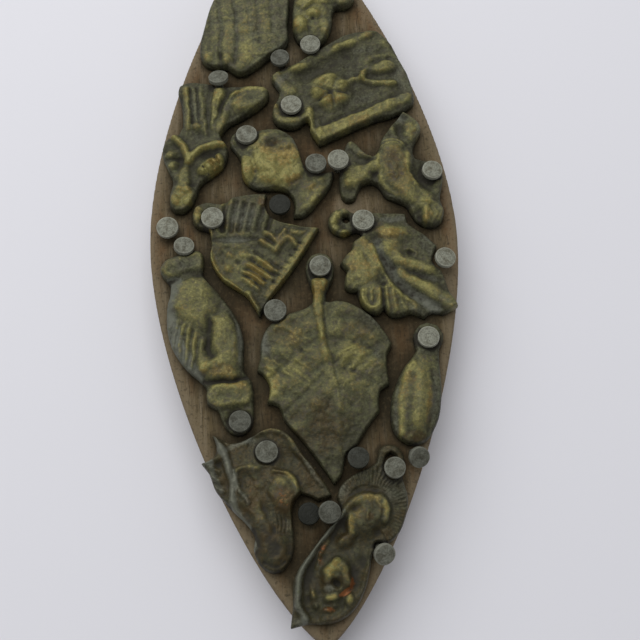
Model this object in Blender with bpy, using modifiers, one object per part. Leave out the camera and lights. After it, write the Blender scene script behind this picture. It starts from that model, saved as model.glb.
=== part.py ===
"""Print board: a pointed-oval wooden board whose face is covered with cast brass relief charms.

Each charm is a thin casting with a relief on it, held down by flat-headed wire nails in the board.
The board lies on its back on the ground plane, with its long axis along Y and its charms facing up.
"""

import math

import bmesh
import bpy
from mathutils import Matrix, Vector

MM = 0.001
WELD = 0.001 * MM
AXIS_MERGE = 0.01 * MM
FACES_UP = 0.5

# Board
BOARD_LENGTH = 172.0 * MM
BOARD_WIDTH = 67.0 * MM
BOARD_THICKNESS = 10.0 * MM
BOARD_ARRIS = 0.7 * MM
TIP_ALONG = 0.107
TIP_ACROSS = 0.404
SIDE_ALONG = 0.352
BOARD_STEPS = 14

# The charms are drawn on a grid over the board, one millimetre a step at the board's drawn size.
GRID_ACROSS = 67
GRID_ALONG = 172
STEP_ACROSS = BOARD_WIDTH / GRID_ACROSS
STEP_ALONG = BOARD_LENGTH / GRID_ALONG
STEP_LEAST = min(STEP_ACROSS, STEP_ALONG)

# Castings
PLATE = 1.8 * MM
PLATE_DRAFT = 0.4 * MM
RELIEF_UNIT = 1.0 * MM
SEAT_GAP = 0.3 * MM
OUTLINE_STEPS = 2
RING_STEPS = 2
RIDGE_STEPS = 1
DOME_SIDES = 8
DOME_RINGS = 6

# Nails
HEAD_DIAMETER = 4.7 * MM
HEAD_THICKNESS = 1.0 * MM
HEAD_CHAMFER = 0.2 * MM
SHANK_DIAMETER = 1.8 * MM
POINT_LENGTH = 2.2 * MM
POINT_COVER = 2.5 * MM
NAIL_CLEARANCE = 0.3 * MM
NAIL_SIDES = 12

CHARM_FOOT = BOARD_THICKNESS + SEAT_GAP
CHARM_TOP = CHARM_FOOT + PLATE
HEAD_SEAT = CHARM_TOP + NAIL_CLEARANCE
TIER = HEAD_THICKNESS + 2 * NAIL_CLEARANCE
SHANK_LENGTH = HEAD_SEAT - POINT_COVER

# Nail heads on the grid: x, y, lean in degrees, heading of the lean in degrees, tier and relative size of the head.
NAILS = (
    (-17.3, 38.7, 20, 95, 0, 0.96),
    (-3.0, 43.3, 6, 150, 0, 0.92),
    (4.1, 46.6, 0, 0, 0, 0.98),
    (-1.1, 30.7, 4, 90, 0, 1.0),
    (-11.4, 23.6, 6, 95, 0, 1.0),
    (3.6, 15.5, 4, 80, 0, 1.0),
    (8.5, 15.3, 0, 0, 1, 0.98),
    (29.0, 12.3, 6, 30, 0, 0.95),
    (-4.8, 5.9, 0, 0, 0, 1.0),
    (-19.5, 3.6, 0, 0, 0, 1.02),
    (-29.2, 1.9, 5, -90, 0, 1.0),
    (-25.8, -2.8, 14, 50, 0, 0.92),
    (13.0, 1.1, 0, 0, 0, 1.02),
    (29.7, -8.7, 10, 0, 0, 0.95),
    (3.1, -9.0, 4, -90, 0, 0.97),
    (-6.9, -18.5, 3, -90, 0, 1.0),
    (24.5, -26.3, 0, 0, 0, 0.96),
    (-15.0, -41.9, 0, 0, 0, 0.95),
    (-9.9, -48.4, 0, 0, 0, 0.96),
    (8.2, -50.7, 0, 0, 0, 0.92),
    (15.1, -53.4, 0, 0, 1, 0.9),
    (20.1, -51.0, 30, -60, 0, 0.9),
    (-2.2, -61.1, 0, 0, 0, 0.93),
    (1.8, -61.3, 0, 0, 1, 0.93),
    (11.7, -69.4, 32, -62, 0, 0.9),
    (0.6, 69.4, 4, 40, 0, 0.98),
    (9.0, 67.4, 5, 200, 0, 0.95),
    (0.6, 82.0, 0, 0, 0, 0.98),
)

CORNER = True


def clear_scene():
    for obj in list(bpy.data.objects):
        bpy.data.objects.remove(obj, do_unlink=True)


def new_collection(name):
    collection = bpy.data.collections.new(name)
    bpy.context.scene.collection.children.link(collection)
    return collection


def material(name, colour, roughness, metallic):
    made = bpy.data.materials.new(name)
    made.use_nodes = True
    shader = made.node_tree.nodes["Principled BSDF"]
    shader.inputs["Base Color"].default_value = (*colour, 1.0)
    shader.inputs["Roughness"].default_value = roughness
    shader.inputs["Metallic"].default_value = metallic
    return made


def place(x, y, z=0.0):
    """A grid point of the charm layout, in metres on the board."""
    return Vector((x * STEP_ACROSS, y * STEP_ALONG, z))


def mesh_of(obj):
    """The evaluated shape of a curve or a turned profile as a closed mesh. The source object is removed."""
    graph = bpy.context.evaluated_depsgraph_get()
    mesh = bpy.data.meshes.new_from_object(obj.evaluated_get(graph))
    shape = bmesh.new()
    shape.from_mesh(mesh)
    bmesh.ops.remove_doubles(shape, verts=shape.verts, dist=WELD)
    bmesh.ops.recalc_face_normals(shape, faces=shape.faces)
    shape.to_mesh(mesh)
    shape.free()
    mesh.transform(obj.matrix_world)
    bpy.data.objects.remove(obj, do_unlink=True)
    return mesh


def add(name, mesh, collection, finish=None):
    obj = bpy.data.objects.new(name, mesh)
    collection.objects.link(obj)
    if finish:
        mesh.materials.clear()
        mesh.materials.append(finish)
    return obj


def add_helper(name, mesh, collection):
    obj = add(name, mesh, collection)
    obj.hide_render = True
    obj.display_type = "WIRE"
    return obj


def temporary(data):
    """A curve or profile in the scene for as long as it takes to read its mesh."""
    obj = bpy.data.objects.new(data.name, data)
    bpy.context.scene.collection.objects.link(obj)
    return obj


def add_spline(curve, points, steps, closed):
    """A smooth spline through grid points (x, y), sharp at those marked (x, y, CORNER)."""
    spline = curve.splines.new("BEZIER")
    spline.bezier_points.add(len(points) - 1)
    spline.use_cyclic_u = closed
    spline.resolution_u = steps
    for knot, (x, y, *corner) in zip(spline.bezier_points, points):
        knot.co = place(x, y)
        knot.handle_left_type = knot.handle_right_type = "VECTOR" if corner else "AUTO"
    return spline


def circle(x, y, radius):
    """Four knots of a ring on the grid."""
    return [(x + radius, y), (x, y + radius), (x - radius, y), (x, y - radius)]


def plate_mesh(outline, holes):
    """The flat plate of a casting, its walls leaning in towards the top as they left the mould."""
    curve = bpy.data.curves.new("plate", "CURVE")
    curve.dimensions = "2D"
    curve.fill_mode = "BOTH"
    curve.extrude = PLATE / 2
    add_spline(curve, outline, OUTLINE_STEPS, True)
    for hole in holes:
        add_spline(curve, hole, RING_STEPS, True)
    mesh = mesh_of(temporary(curve))
    mesh.transform(Matrix.Translation((0, 0, CHARM_FOOT + PLATE / 2)))
    shape = bmesh.new()
    shape.from_mesh(mesh)
    lid = [face for face in shape.faces if face.normal.z > FACES_UP]
    bmesh.ops.delete(shape, geom=lid, context="FACES")
    rim = [edge for edge in shape.edges if edge.is_boundary]
    draft = {}
    for corner in {vertex for edge in rim for vertex in edge.verts}:
        walls = [face.normal for edge in rim if corner in edge.verts for face in edge.link_faces]
        outward = sum(walls, Vector()).normalized()
        draft[corner] = outward * PLATE_DRAFT / outward.dot(walls[0])
    for corner, step in draft.items():
        corner.co -= step
    bmesh.ops.triangle_fill(shape, edges=rim, use_beauty=True, normal=(0, 0, 1))
    bmesh.ops.recalc_face_normals(shape, faces=shape.faces)
    shape.to_mesh(mesh)
    shape.free()
    return mesh


def ground(mesh, depth):
    """Cuts the mesh flat at this depth inside its plate."""
    shape = bmesh.new()
    shape.from_mesh(mesh)
    cut = bmesh.ops.bisect_plane(
        shape,
        geom=shape.verts[:] + shape.edges[:] + shape.faces[:],
        plane_co=(0, 0, CHARM_TOP - depth),
        plane_no=(0, 0, 1),
        clear_inner=True,
    )
    rim = [item for item in cut["geom_cut"] if isinstance(item, bmesh.types.BMEdge)]
    bmesh.ops.contextual_create(shape, geom=rim)
    bmesh.ops.recalc_face_normals(shape, faces=shape.faces)
    shape.to_mesh(mesh)
    shape.free()


def ridge(points, half_width, height, end=0.6):
    """A rounded ridge along grid points, this many relief units high, tapering to a share of its width."""
    curve = bpy.data.curves.new("ridge", "CURVE")
    curve.dimensions = "3D"
    curve.bevel_depth = half_width * STEP_LEAST
    curve.bevel_resolution = 1
    curve.use_fill_caps = True
    spline = add_spline(curve, points, RIDGE_STEPS, False)
    for knot in spline.bezier_points:
        knot.radius = 1.0
    spline.bezier_points[-1].radius = end
    rise = height * RELIEF_UNIT / curve.bevel_depth
    mesh = mesh_of(temporary(curve))
    mesh.transform(Matrix.Translation((0, 0, CHARM_TOP)) @ Matrix.Diagonal((1, 1, rise, 1)))
    return mesh


def dome(x, y, half_width, half_length, height, turn=0.0):
    """A rounded boss on the plate, its length along Y turned by this many degrees."""
    shape = bmesh.new()
    bmesh.ops.create_uvsphere(shape, u_segments=DOME_SIDES, v_segments=DOME_RINGS, radius=1.0)
    size = Matrix.Diagonal((half_width * STEP_LEAST, half_length * STEP_LEAST, height * RELIEF_UNIT, 1))
    spin = Matrix.Rotation(math.radians(turn), 4, "Z")
    shape.transform(Matrix.Translation(place(x, y, CHARM_TOP)) @ spin @ size)
    mesh = bpy.data.meshes.new("dome")
    shape.to_mesh(mesh)
    shape.free()
    return mesh


def turned_mesh(name, profile):
    """A closed turned shape from a profile of (radius, height) that runs down its outer side."""
    mesh = bpy.data.meshes.new(name)
    points = [(radius, 0, height) for radius, height in profile]
    mesh.from_pydata(points, [(i, i + 1) for i in range(len(points) - 1)], [])
    obj = temporary(mesh)
    screw = obj.modifiers.new("turn", "SCREW")
    screw.steps = screw.render_steps = NAIL_SIDES
    screw.use_merge_vertices = True
    screw.merge_threshold = AXIS_MERGE
    return mesh_of(obj)


def boolean(body, name, operation, operands):
    step = body.modifiers.new(name, "BOOLEAN")
    step.operation = operation
    step.solver = "EXACT"
    step.operand_type = "COLLECTION"
    step.collection = operands


def make_nails(parts, cutters, steel):
    """Wire nails, and round each the clear space that the board and the castings leave for it."""
    for number, (x, y, lean, heading, tier, size) in enumerate(NAILS, 1):
        head = HEAD_DIAMETER * size / 2
        shank = SHANK_DIAMETER * size / 2
        nail = turned_mesh(
            "nail",
            (
                (0, HEAD_THICKNESS),
                (head - HEAD_CHAMFER, HEAD_THICKNESS),
                (head, HEAD_THICKNESS - HEAD_CHAMFER),
                (head, 0),
                (shank, 0),
                (shank, POINT_LENGTH - SHANK_LENGTH),
                (0, -SHANK_LENGTH),
            ),
        )
        space = turned_mesh(
            "nail_space",
            (
                (0, BOARD_THICKNESS),
                (head + NAIL_CLEARANCE, BOARD_THICKNESS),
                (head + NAIL_CLEARANCE, -NAIL_CLEARANCE),
                (shank + NAIL_CLEARANCE, -NAIL_CLEARANCE),
                (shank + NAIL_CLEARANCE, -SHANK_LENGTH - NAIL_CLEARANCE),
                (0, -SHANK_LENGTH - NAIL_CLEARANCE),
            ),
        )
        tip = Matrix.Rotation(math.radians(heading), 4, "Z") @ Matrix.Rotation(math.radians(lean), 4, "Y")
        stand = Matrix.Translation(place(x, y, HEAD_SEAT + tier * TIER)) @ tip
        add(f"nail_{number:02d}", nail, parts, steel).matrix_world = stand
        add_helper(f"nail_space_{number:02d}", space, cutters).matrix_world = stand


def make_board(parts, cutters, wood):
    """The board: four curved sides between two tips, with a blind hole for every nail."""
    curve = bpy.data.curves.new("board", "CURVE")
    curve.dimensions = "2D"
    curve.fill_mode = "BOTH"
    curve.extrude = BOARD_THICKNESS / 2 - BOARD_ARRIS
    curve.bevel_depth = BOARD_ARRIS
    curve.bevel_resolution = 0
    curve.offset = -BOARD_ARRIS
    spline = curve.splines.new("BEZIER")
    spline.bezier_points.add(3)
    spline.use_cyclic_u = True
    spline.resolution_u = BOARD_STEPS
    half_length = BOARD_LENGTH / 2
    half_width = BOARD_WIDTH / 2
    side = SIDE_ALONG * half_length
    across = TIP_ACROSS * half_width
    along = TIP_ALONG * half_length
    knots = (
        ((half_width, 0), (0, side), (0, -side)),
        ((0, half_length), (-across, -along), (across, -along)),
        ((-half_width, 0), (0, -side), (0, side)),
        ((0, -half_length), (across, along), (-across, along)),
    )
    for knot, (point, ahead, behind) in zip(spline.bezier_points, knots):
        knot.handle_left_type = knot.handle_right_type = "FREE"
        knot.co = (*point, 0)
        knot.handle_right = knot.co + Vector((*ahead, 0))
        knot.handle_left = knot.co + Vector((*behind, 0))
    obj = temporary(curve)
    obj.location.z = BOARD_THICKNESS / 2
    bpy.context.view_layer.update()
    board = add("board", mesh_of(obj), parts, wood)
    return [(board, "nail_holes", "DIFFERENCE", cutters)]


def near_cutters(body, cutters):
    """A collection of the nail spaces whose head can reach this body, seen from above."""
    near = new_collection(f"{body.name}_nails")
    reach = HEAD_DIAMETER + NAIL_CLEARANCE
    xs = [vertex.co.x for vertex in body.data.vertices]
    ys = [vertex.co.y for vertex in body.data.vertices]
    for cutter in cutters.objects:
        x, y, _ = cutter.matrix_world.translation
        if min(xs) - reach < x < max(xs) + reach and min(ys) - reach < y < max(ys) + reach:
            near.objects.link(cutter)
    return near


def make_charm(name, outline, relief, shop, holes=()):
    """One casting's plate and the relief on it. The joins and cuts still to be made are returned.

    Each piece of relief goes deeper into the plate than the last, so that no two feet lie in one plane.
    """
    parts, cutters, brass = shop
    charm = add(name, plate_mesh(outline, holes), parts, brass)
    shapes = new_collection(f"{name}_relief")
    for number, mesh in enumerate(relief, 1):
        ground(mesh, PLATE * number / (len(relief) + 1))
        add_helper(f"{name}_relief_{number:02d}", mesh, shapes)
    near = near_cutters(charm, cutters)
    return [(charm, "relief", "UNION", shapes), (charm, "nail_spaces", "DIFFERENCE", near)]


def fan(start, ends, half_width, height):
    """Ridges from one point to several."""
    return [ridge([start, end], half_width, height) for end in ends]


def around(x, y, radius, degrees):
    """A grid point this far from another, in the direction of an angle from X."""
    turn = math.radians(degrees)
    return (x + radius * math.cos(turn), y + radius * math.sin(turn))


def make_corn_ear(shop):
    outline = [
        (-21.5, 46.5), (-20.3, 43.6), (-17.8, 42.4), (-15.3, 42.3), (-13.0, 40.3), (-10.0, 41.2),
        (-5.4, 44.8), (-1.2, 48.3), (-0.9, 53.0), (-0.2, 60.0), (-1.4, 66.5), (-3.8, 72.0),
        (-6.8, 74.2), (-10.2, 71.6), (-14.6, 66.2), (-18.4, 60.0), (-20.2, 54.0),
    ]
    rows = [
        [(-18.6, 46.0), (-17.2, 56.0), (-12.6, 66.0)],
        [(-13.4, 43.4), (-12.8, 56.0), (-9.6, 69.6)],
        [(-9.0, 44.0), (-8.2, 56.0), (-6.6, 71.0)],
        [(-4.2, 48.0), (-3.6, 57.0), (-4.2, 68.6)],
    ]
    return make_charm("corn_ear", outline, [ridge(row, 1.9, 1.6) for row in rows], shop)


def make_berry_cluster(shop):
    outline = [
        (0.3, 53.0), (0.6, 50.3), (2.4, 47.6), (5.6, 47.0), (8.2, 49.6), (9.6, 53.4), (10.4, 57.2),
        (13.2, 57.6), (15.3, 60.2), (14.2, 63.2), (11.2, 64.0), (9.2, 66.4), (6.4, 68.0), (3.4, 67.4),
        (1.6, 64.4), (1.0, 60.0), (0.4, 56.5),
    ]
    berries = [
        (2.2, 53.2), (5.2, 54.8), (7.4, 52.2), (3.2, 57.6), (7.2, 58.4), (3.6, 62.0), (7.0, 62.6),
        (5.2, 65.6),
    ]
    relief = [dome(x, y, 1.9, 2.1, 2.6) for x, y in berries]
    return make_charm("berry_cluster", outline, relief, shop, [circle(12.5, 60.6, 1.5)])


def make_acorn(shop):
    outline = [
        (-1.8, 73.0), (0.6, 71.8), (3.2, 73.0), (4.2, 75.6), (3.0, 78.6), (0.8, 80.8), (-1.4, 78.6),
        (-2.6, 75.6),
    ]
    relief = [dome(0.8, 75.4, 2.4, 2.9, 2.4), ridge([(-1.2, 77.2), (0.8, 78.2), (2.8, 77.2)], 0.9, 1.6, 1.0)]
    return make_charm("acorn", outline, relief, shop)


def make_rose_panel(shop):
    outline = [
        (-4.9, 39.6), (0.5, 42.4), (6.5, 46.3), (12.0, 49.4), (17.5, 50.3), (20.5, 49.6), (24.4, 42.0),
        (26.9, 33.0), (26.2, 29.9), (17.0, 26.2), (4.7, 20.9, CORNER), (2.9, 24.5), (2.4, 27.3),
        (0.6, 26.0), (-2.2, 25.6), (-4.9, 27.3), (-5.4, 30.2), (-4.2, 33.0), (-3.7, 35.4),
        (-5.1, 38.0),
    ]
    rims = [
        ridge([(5.4, 22.6), (14.0, 26.3), (24.9, 30.6)], 1.3, 1.5, 1.0),
        ridge([(4.3, 22.8), (3.6, 29.0)], 0.8, 1.2, 1.0),
        ridge([(-3.9, 39.0), (-2.4, 35.8)], 0.9, 0.9, 1.0),
        ridge([(-2.6, 40.0), (2.3, 42.2)], 0.8, 1.1, 1.0),
        ridge([(25.6, 32.4), (24.0, 39.5), (21.6, 45.2)], 0.8, 0.8, 1.0),
    ]
    petals = [dome(*around(7.6, 34.4, 2.7, turn), 2.0, 2.0, 1.7) for turn in (0, 72, 144, 216, 288)]
    spray = [
        ridge([(11.2, 36.2), (15.2, 37.4)], 0.8, 1.2),
        ridge([(16.2, 40.6), (16.6, 37.4), (22.2, 36.2)], 0.8, 1.4),
        dome(20.6, 40.2, 2.4, 1.5, 1.3, 12),
        ridge([(10.6, 46.4), (14.6, 47.8), (18.2, 48.8)], 0.9, 1.1),
    ]
    return make_charm("rose_panel", outline, rims + petals + spray, shop, [circle(-1.2, 30.8, 2.05)])


def make_tied_sheaf(shop):
    outline = [
        (-26.4, 37.9), (-22.0, 38.6), (-16.0, 37.1), (-8.5, 36.6), (-6.0, 35.2), (-8.0, 31.6),
        (-13.0, 28.4), (-17.4, 24.6), (-15.8, 21.2), (-17.2, 16.4), (-22.0, 12.6), (-23.6, 8.6),
        (-26.0, 6.0), (-28.8, 7.4), (-28.1, 13.5), (-30.2, 19.5), (-29.6, 24.0), (-26.6, 25.4),
        (-25.7, 29.5), (-26.2, 34.0),
    ]
    tops = [(-24.6, 36.6), (-20.8, 37.0), (-16.8, 35.8), (-12.4, 35.2), (-8.0, 34.8)]
    stalks = fan((-21.2, 25.0), tops, 1.2, 1.5)
    bow = [
        ridge([(-21.6, 22.0), (-17.4, 21.8), (-17.6, 18.0), (-21.2, 14.8)], 1.1, 1.5, 1.0),
        ridge([(-23.6, 22.2), (-27.6, 23.6), (-28.4, 19.2), (-25.2, 16.6)], 1.0, 1.4, 1.0),
        dome(-22.6, 20.4, 2.2, 2.4, 2.2),
        ridge([(-23.8, 17.6), (-25.4, 12.4), (-26.2, 8.0)], 1.2, 1.3),
    ]
    return make_charm("tied_sheaf", outline, stalks + bow, shop)


def make_fish(shop):
    outline = [
        (-15.4, 22.8), (-13.4, 25.4), (-11.2, 26.3), (-9.0, 25.3), (-5.0, 25.3), (-1.6, 23.2), (0.1, 19.0),
        (1.6, 14.6), (4.5, 13.8), (7.5, 14.2, CORNER), (6.6, 10.9), (3.5, 6.8), (0.2, 3.5),
        (-2.0, 3.5, CORNER), (-1.6, 6.6), (-3.0, 9.4), (-5.5, 10.4), (-10.0, 10.8), (-12.7, 13.6),
        (-13.0, 18.0), (-14.4, 20.6),
    ]
    relief = [
        dome(-6.2, 18.0, 5.8, 6.4, 2.8, 35),
        dome(-12.2, 20.6, 1.8, 2.4, 1.4, 35),
        ridge([(-1.2, 12.2), (2.6, 12.6), (5.6, 12.8)], 1.0, 1.2),
        ridge([(-1.4, 11.2), (0.0, 8.4), (-0.2, 5.0)], 1.0, 1.2),
        ridge([(-11.4, 16.4), (-10.6, 12.8), (-6.0, 11.8)], 0.8, 1.3),
    ]
    return make_charm("fish", outline, relief, shop)


def make_leaping_hare(shop):
    outline = [
        (23.9, 27.9, CORNER), (26.6, 26.0), (27.6, 23.2), (25.9, 19.9), (25.8, 16.2), (30.6, 15.0),
        (31.4, 11.0), (30.3, 6.0), (30.8, 2.4), (28.4, -0.6), (24.6, 1.1), (22.8, 4.7), (18.6, 7.2),
        (16.4, 10.5), (13.4, 10.4), (11.8, 7.2), (9.7, 6.6), (8.6, 9.0), (8.9, 14.0), (10.3, 19.6),
        (11.8, 21.4), (14.0, 19.0), (16.4, 17.0), (18.6, 21.2), (22.0, 25.8),
    ]
    relief = [
        ridge([(23.4, 25.0), (20.7, 20.0), (20.4, 15.0), (19.8, 11.4)], 2.3, 2.5, 1.0),
        ridge([(20.4, 12.0), (24.0, 7.5), (27.4, 3.6)], 2.0, 2.2, 0.9),
        ridge([(19.0, 14.6), (13.6, 13.2), (10.8, 9.2)], 1.5, 1.7, 0.9),
        ridge([(17.6, 16.4), (13.2, 18.8), (12.0, 20.0)], 1.0, 1.3),
        dome(25.4, 23.6, 1.6, 2.2, 2.2, -25),
        dome(27.9, 2.0, 2.0, 1.9, 1.9),
    ]
    return make_charm("leaping_hare", outline, relief, shop)


def make_pennant(shop):
    outline = [
        (-17.7, 7.3), (-14.8, 9.0), (-7.6, 9.3, CORNER), (-7.7, 5.0), (-4.0, 2.0), (3.4, 0.5, CORNER),
        (-2.4, -8.5), (-8.2, -15.8), (-10.3, -19.2, CORNER), (-13.0, -14.3), (-17.6, -10.8),
        (-20.3, -5.2), (-20.2, 1.0), (-22.7, 2.0), (-24.0, 4.6), (-22.8, 7.2), (-20.0, 7.9),
    ]
    rims = [
        ridge([(1.9, 0.2), (-3.0, -7.7), (-9.4, -16.0)], 0.7, 0.9, 1.0),
        ridge([(-12.6, -13.6), (-17.6, -9.6), (-19.4, -4.4)], 0.7, 0.9, 1.0),
    ]
    folds = [ridge([(-18.6 + step, 0.6), (-15.6 + step, 7.6)], 0.8, 1.0, 1.0) for step in (0.0, 2.6, 5.2)]
    bars = [
        ridge([(-14.0 + step, -4.6 - 2 * step), (-8.0 + step, -7.2 - 2 * step)], 0.8, 0.9, 1.0)
        for step in (0.0, 1.2, 2.4)
    ]
    blocks = [ridge([(-8.8 + step, -3.6), (-6.6 + step, 0.8)], 0.8, 0.9, 1.0) for step in (0.0, 2.6, 5.2)]
    return make_charm("pennant", outline, rims + folds + bars + blocks, shop)


def make_clasped_hands(shop):
    outline = [
        (-30.9, -6.8), (-28.5, -4.8), (-24.0, -3.2), (-21.8, -4.4), (-22.0, -9.0), (-19.3, -12.8),
        (-15.3, -19.0), (-13.8, -25.0), (-13.9, -31.0), (-12.4, -33.4), (-12.3, -38.4), (-12.5, -41.6),
        (-13.6, -43.6), (-15.4, -44.3), (-17.4, -43.5), (-18.8, -41.0), (-19.6, -38.9), (-21.6, -37.6),
        (-21.8, -34.2), (-25.5, -30.2), (-29.0, -24.2), (-29.6, -16.0), (-28.8, -11.2), (-30.6, -8.9),
    ]
    cuffs = [
        ridge([(-29.2, -7.4), (-26.0, -7.0), (-23.2, -5.8)], 1.8, 1.7, 1.0),
        ridge([(-20.2, -36.2), (-17.0, -36.0), (-13.8, -35.6)], 2.0, 1.9, 1.0),
    ]
    knuckles = [(-27.2, -20.4), (-25.5, -21.4), (-23.8, -22.4), (-22.1, -23.4)]
    tips = [(-27.8, -25.2), (-26.3, -27.1), (-24.8, -29.0), (-23.3, -30.9)]
    fingers = [ridge([knuckle, tip], 0.95, 1.7, 0.9) for knuckle, tip in zip(knuckles, tips)]
    palms = [
        dome(-23.6, -15.0, 4.6, 5.2, 2.6, 20),
        ridge([(-20.4, -18.4), (-17.4, -22.4), (-16.4, -26.0), (-18.4, -28.8)], 1.6, 2.2, 0.9),
        dome(-18.4, -29.8, 3.4, 2.8, 1.9, -20),
    ]
    return make_charm("clasped_hands", outline, cuffs + fingers + palms, shop)


def make_toothed_leaf(shop):
    outline = [
        (1.0, -17.0), (0.5, -12.0), (0.2, -7.6), (3.0, -5.4), (5.8, -7.6), (5.4, -12.0), (3.9, -16.8),
        (6.0, -16.7), (10.0, -18.1), (14.2, -21.8), (17.0, -26.8, CORNER), (15.7, -29.6),
        (15.8, -35.5, CORNER), (13.8, -36.8), (13.3, -41.0, CORNER), (10.6, -44.2), (8.2, -47.6),
        (5.9, -49.6), (4.8, -53.4), (3.1, -55.4, CORNER), (1.0, -52.0), (-3.0, -46.0), (-6.2, -41.8),
        (-7.2, -38.9), (-9.5, -38.1, CORNER), (-8.8, -35.0), (-9.8, -32.4), (-11.3, -31.2, CORNER),
        (-10.4, -27.6), (-10.2, -25.0), (-7.8, -20.8), (-3.2, -18.7),
    ]
    midrib = [(2.4, -12.6), (1.7, -18.0), (2.0, -25.0), (3.6, -33.0), (4.4, -41.0), (3.5, -52.4)]
    veins = [
        [(2.2, -26.0), (7.5, -25.4), (14.6, -26.8)], [(3.6, -33.4), (8.4, -34.0), (13.6, -35.2)],
        [(4.4, -40.4), (8.0, -41.0), (11.4, -41.6)], [(1.8, -23.0), (-4.0, -26.4), (-9.2, -30.4)],
        [(3.0, -30.6), (-2.6, -34.6), (-7.4, -37.6)], [(4.2, -38.4), (0.6, -42.4), (-2.2, -44.8)],
    ]
    ribs = [ridge(midrib, 1.2, 1.5)] + [ridge(vein, 0.8, 1.0) for vein in veins]
    lobes = [
        dome(9.0, -29.8, 4.6, 3.0, 1.0),
        dome(8.6, -21.6, 3.6, 2.6, 0.9),
        dome(-4.6, -22.4, 3.0, 2.2, 0.9),
    ]
    return make_charm("toothed_leaf", outline, ribs + lobes, shop)


def make_vine_leaf(shop):
    outline = [
        (11.0, 3.6), (15.4, 3.3), (22.4, 2.8, CORNER), (22.7, 0.5), (26.0, -2.4), (28.5, -5.3, CORNER),
        (27.1, -8.8), (28.8, -11.0), (30.0, -15.5), (31.6, -19.2, CORNER), (28.4, -20.8),
        (26.0, -20.3), (24.2, -21.6, CORNER), (21.6, -20.3), (19.6, -20.8), (17.2, -20.6),
        (16.0, -18.9, CORNER), (14.4, -20.1), (12.4, -19.3), (11.1, -17.2), (10.6, -14.8, CORNER),
        (8.4, -14.3), (8.1, -12.4), (8.8, -10.2, CORNER), (7.4, -8.2, CORNER), (8.8, -6.4),
        (10.1, -5.2), (10.6, -3.3), (12.6, -2.0), (11.4, -0.7), (9.0, -1.6), (6.2, -0.4), (5.5, 2.0),
        (6.8, 4.1), (9.0, 4.6),
    ]
    relief = [
        ridge([(15.8, -3.0), (21.4, -8.0), (26.4, -10.4)], 1.7, 1.7),
        ridge([(18.6, -9.2), (25.4, -14.8), (30.2, -18.4)], 1.8, 2.0),
        ridge([(15.0, 0.4), (20.6, -1.4), (25.6, -5.2)], 1.3, 1.3),
        dome(12.8, -8.2, 2.6, 4.0, 1.6, -15),
        dome(14.6, -15.6, 3.0, 3.2, 1.7, -30),
        ridge([(16.6, -12.0), (20.2, -16.4), (23.8, -19.8)], 1.3, 1.4),
    ]
    return make_charm("vine_leaf", outline, relief, shop, [circle(9.4, 2.1, 0.8)])


def make_pod(shop):
    outline = [
        (24.7, -22.5), (27.9, -25.2), (26.7, -28.6), (26.4, -33.0), (26.0, -39.5), (23.5, -46.2),
        (20.2, -48.4), (16.8, -47.0), (15.4, -43.0), (16.9, -36.0), (19.6, -31.4), (21.9, -28.6),
        (21.6, -25.2),
    ]
    return make_charm("pod", outline, [dome(20.7, -38.9, 4.0, 8.2, 2.9, -14)], shop)


def make_horse_head(shop):
    outline = [
        (-20.8, -44.0, CORNER), (-16.5, -45.9), (-12.5, -44.7), (-9.0, -43.3), (-5.4, -44.9),
        (-2.6, -49.2), (1.0, -54.4), (2.5, -57.6, CORNER), (-0.4, -58.4), (-3.6, -56.9), (-5.5, -61.0),
        (-5.4, -66.5), (-7.4, -71.0), (-10.4, -71.6), (-13.2, -67.6), (-13.0, -64.6), (-16.6, -60.0),
        (-20.4, -55.2), (-21.5, -52.0), (-23.1, -49.7, CORNER), (-20.6, -48.6), (-20.0, -46.4),
    ]
    relief = [
        ridge([(-18.2, -48.4), (-17.4, -53.6), (-15.6, -58.6), (-11.4, -65.6)], 1.8, 2.2, 1.0),
        dome(-8.4, -56.4, 4.4, 4.6, 2.8, 30),
        dome(-9.3, -66.8, 3.0, 3.8, 2.4, -10),
        ridge([(-5.6, -46.8), (-3.6, -51.4), (-0.6, -56.0)], 1.2, 1.4, 0.8),
        ridge([(-18.6, -50.0), (-21.6, -50.2)], 0.9, 1.2),
        dome(-13.8, -53.8, 1.4, 1.4, 1.6),
    ]
    return make_charm("horse_head", outline, relief, shop)


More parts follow.
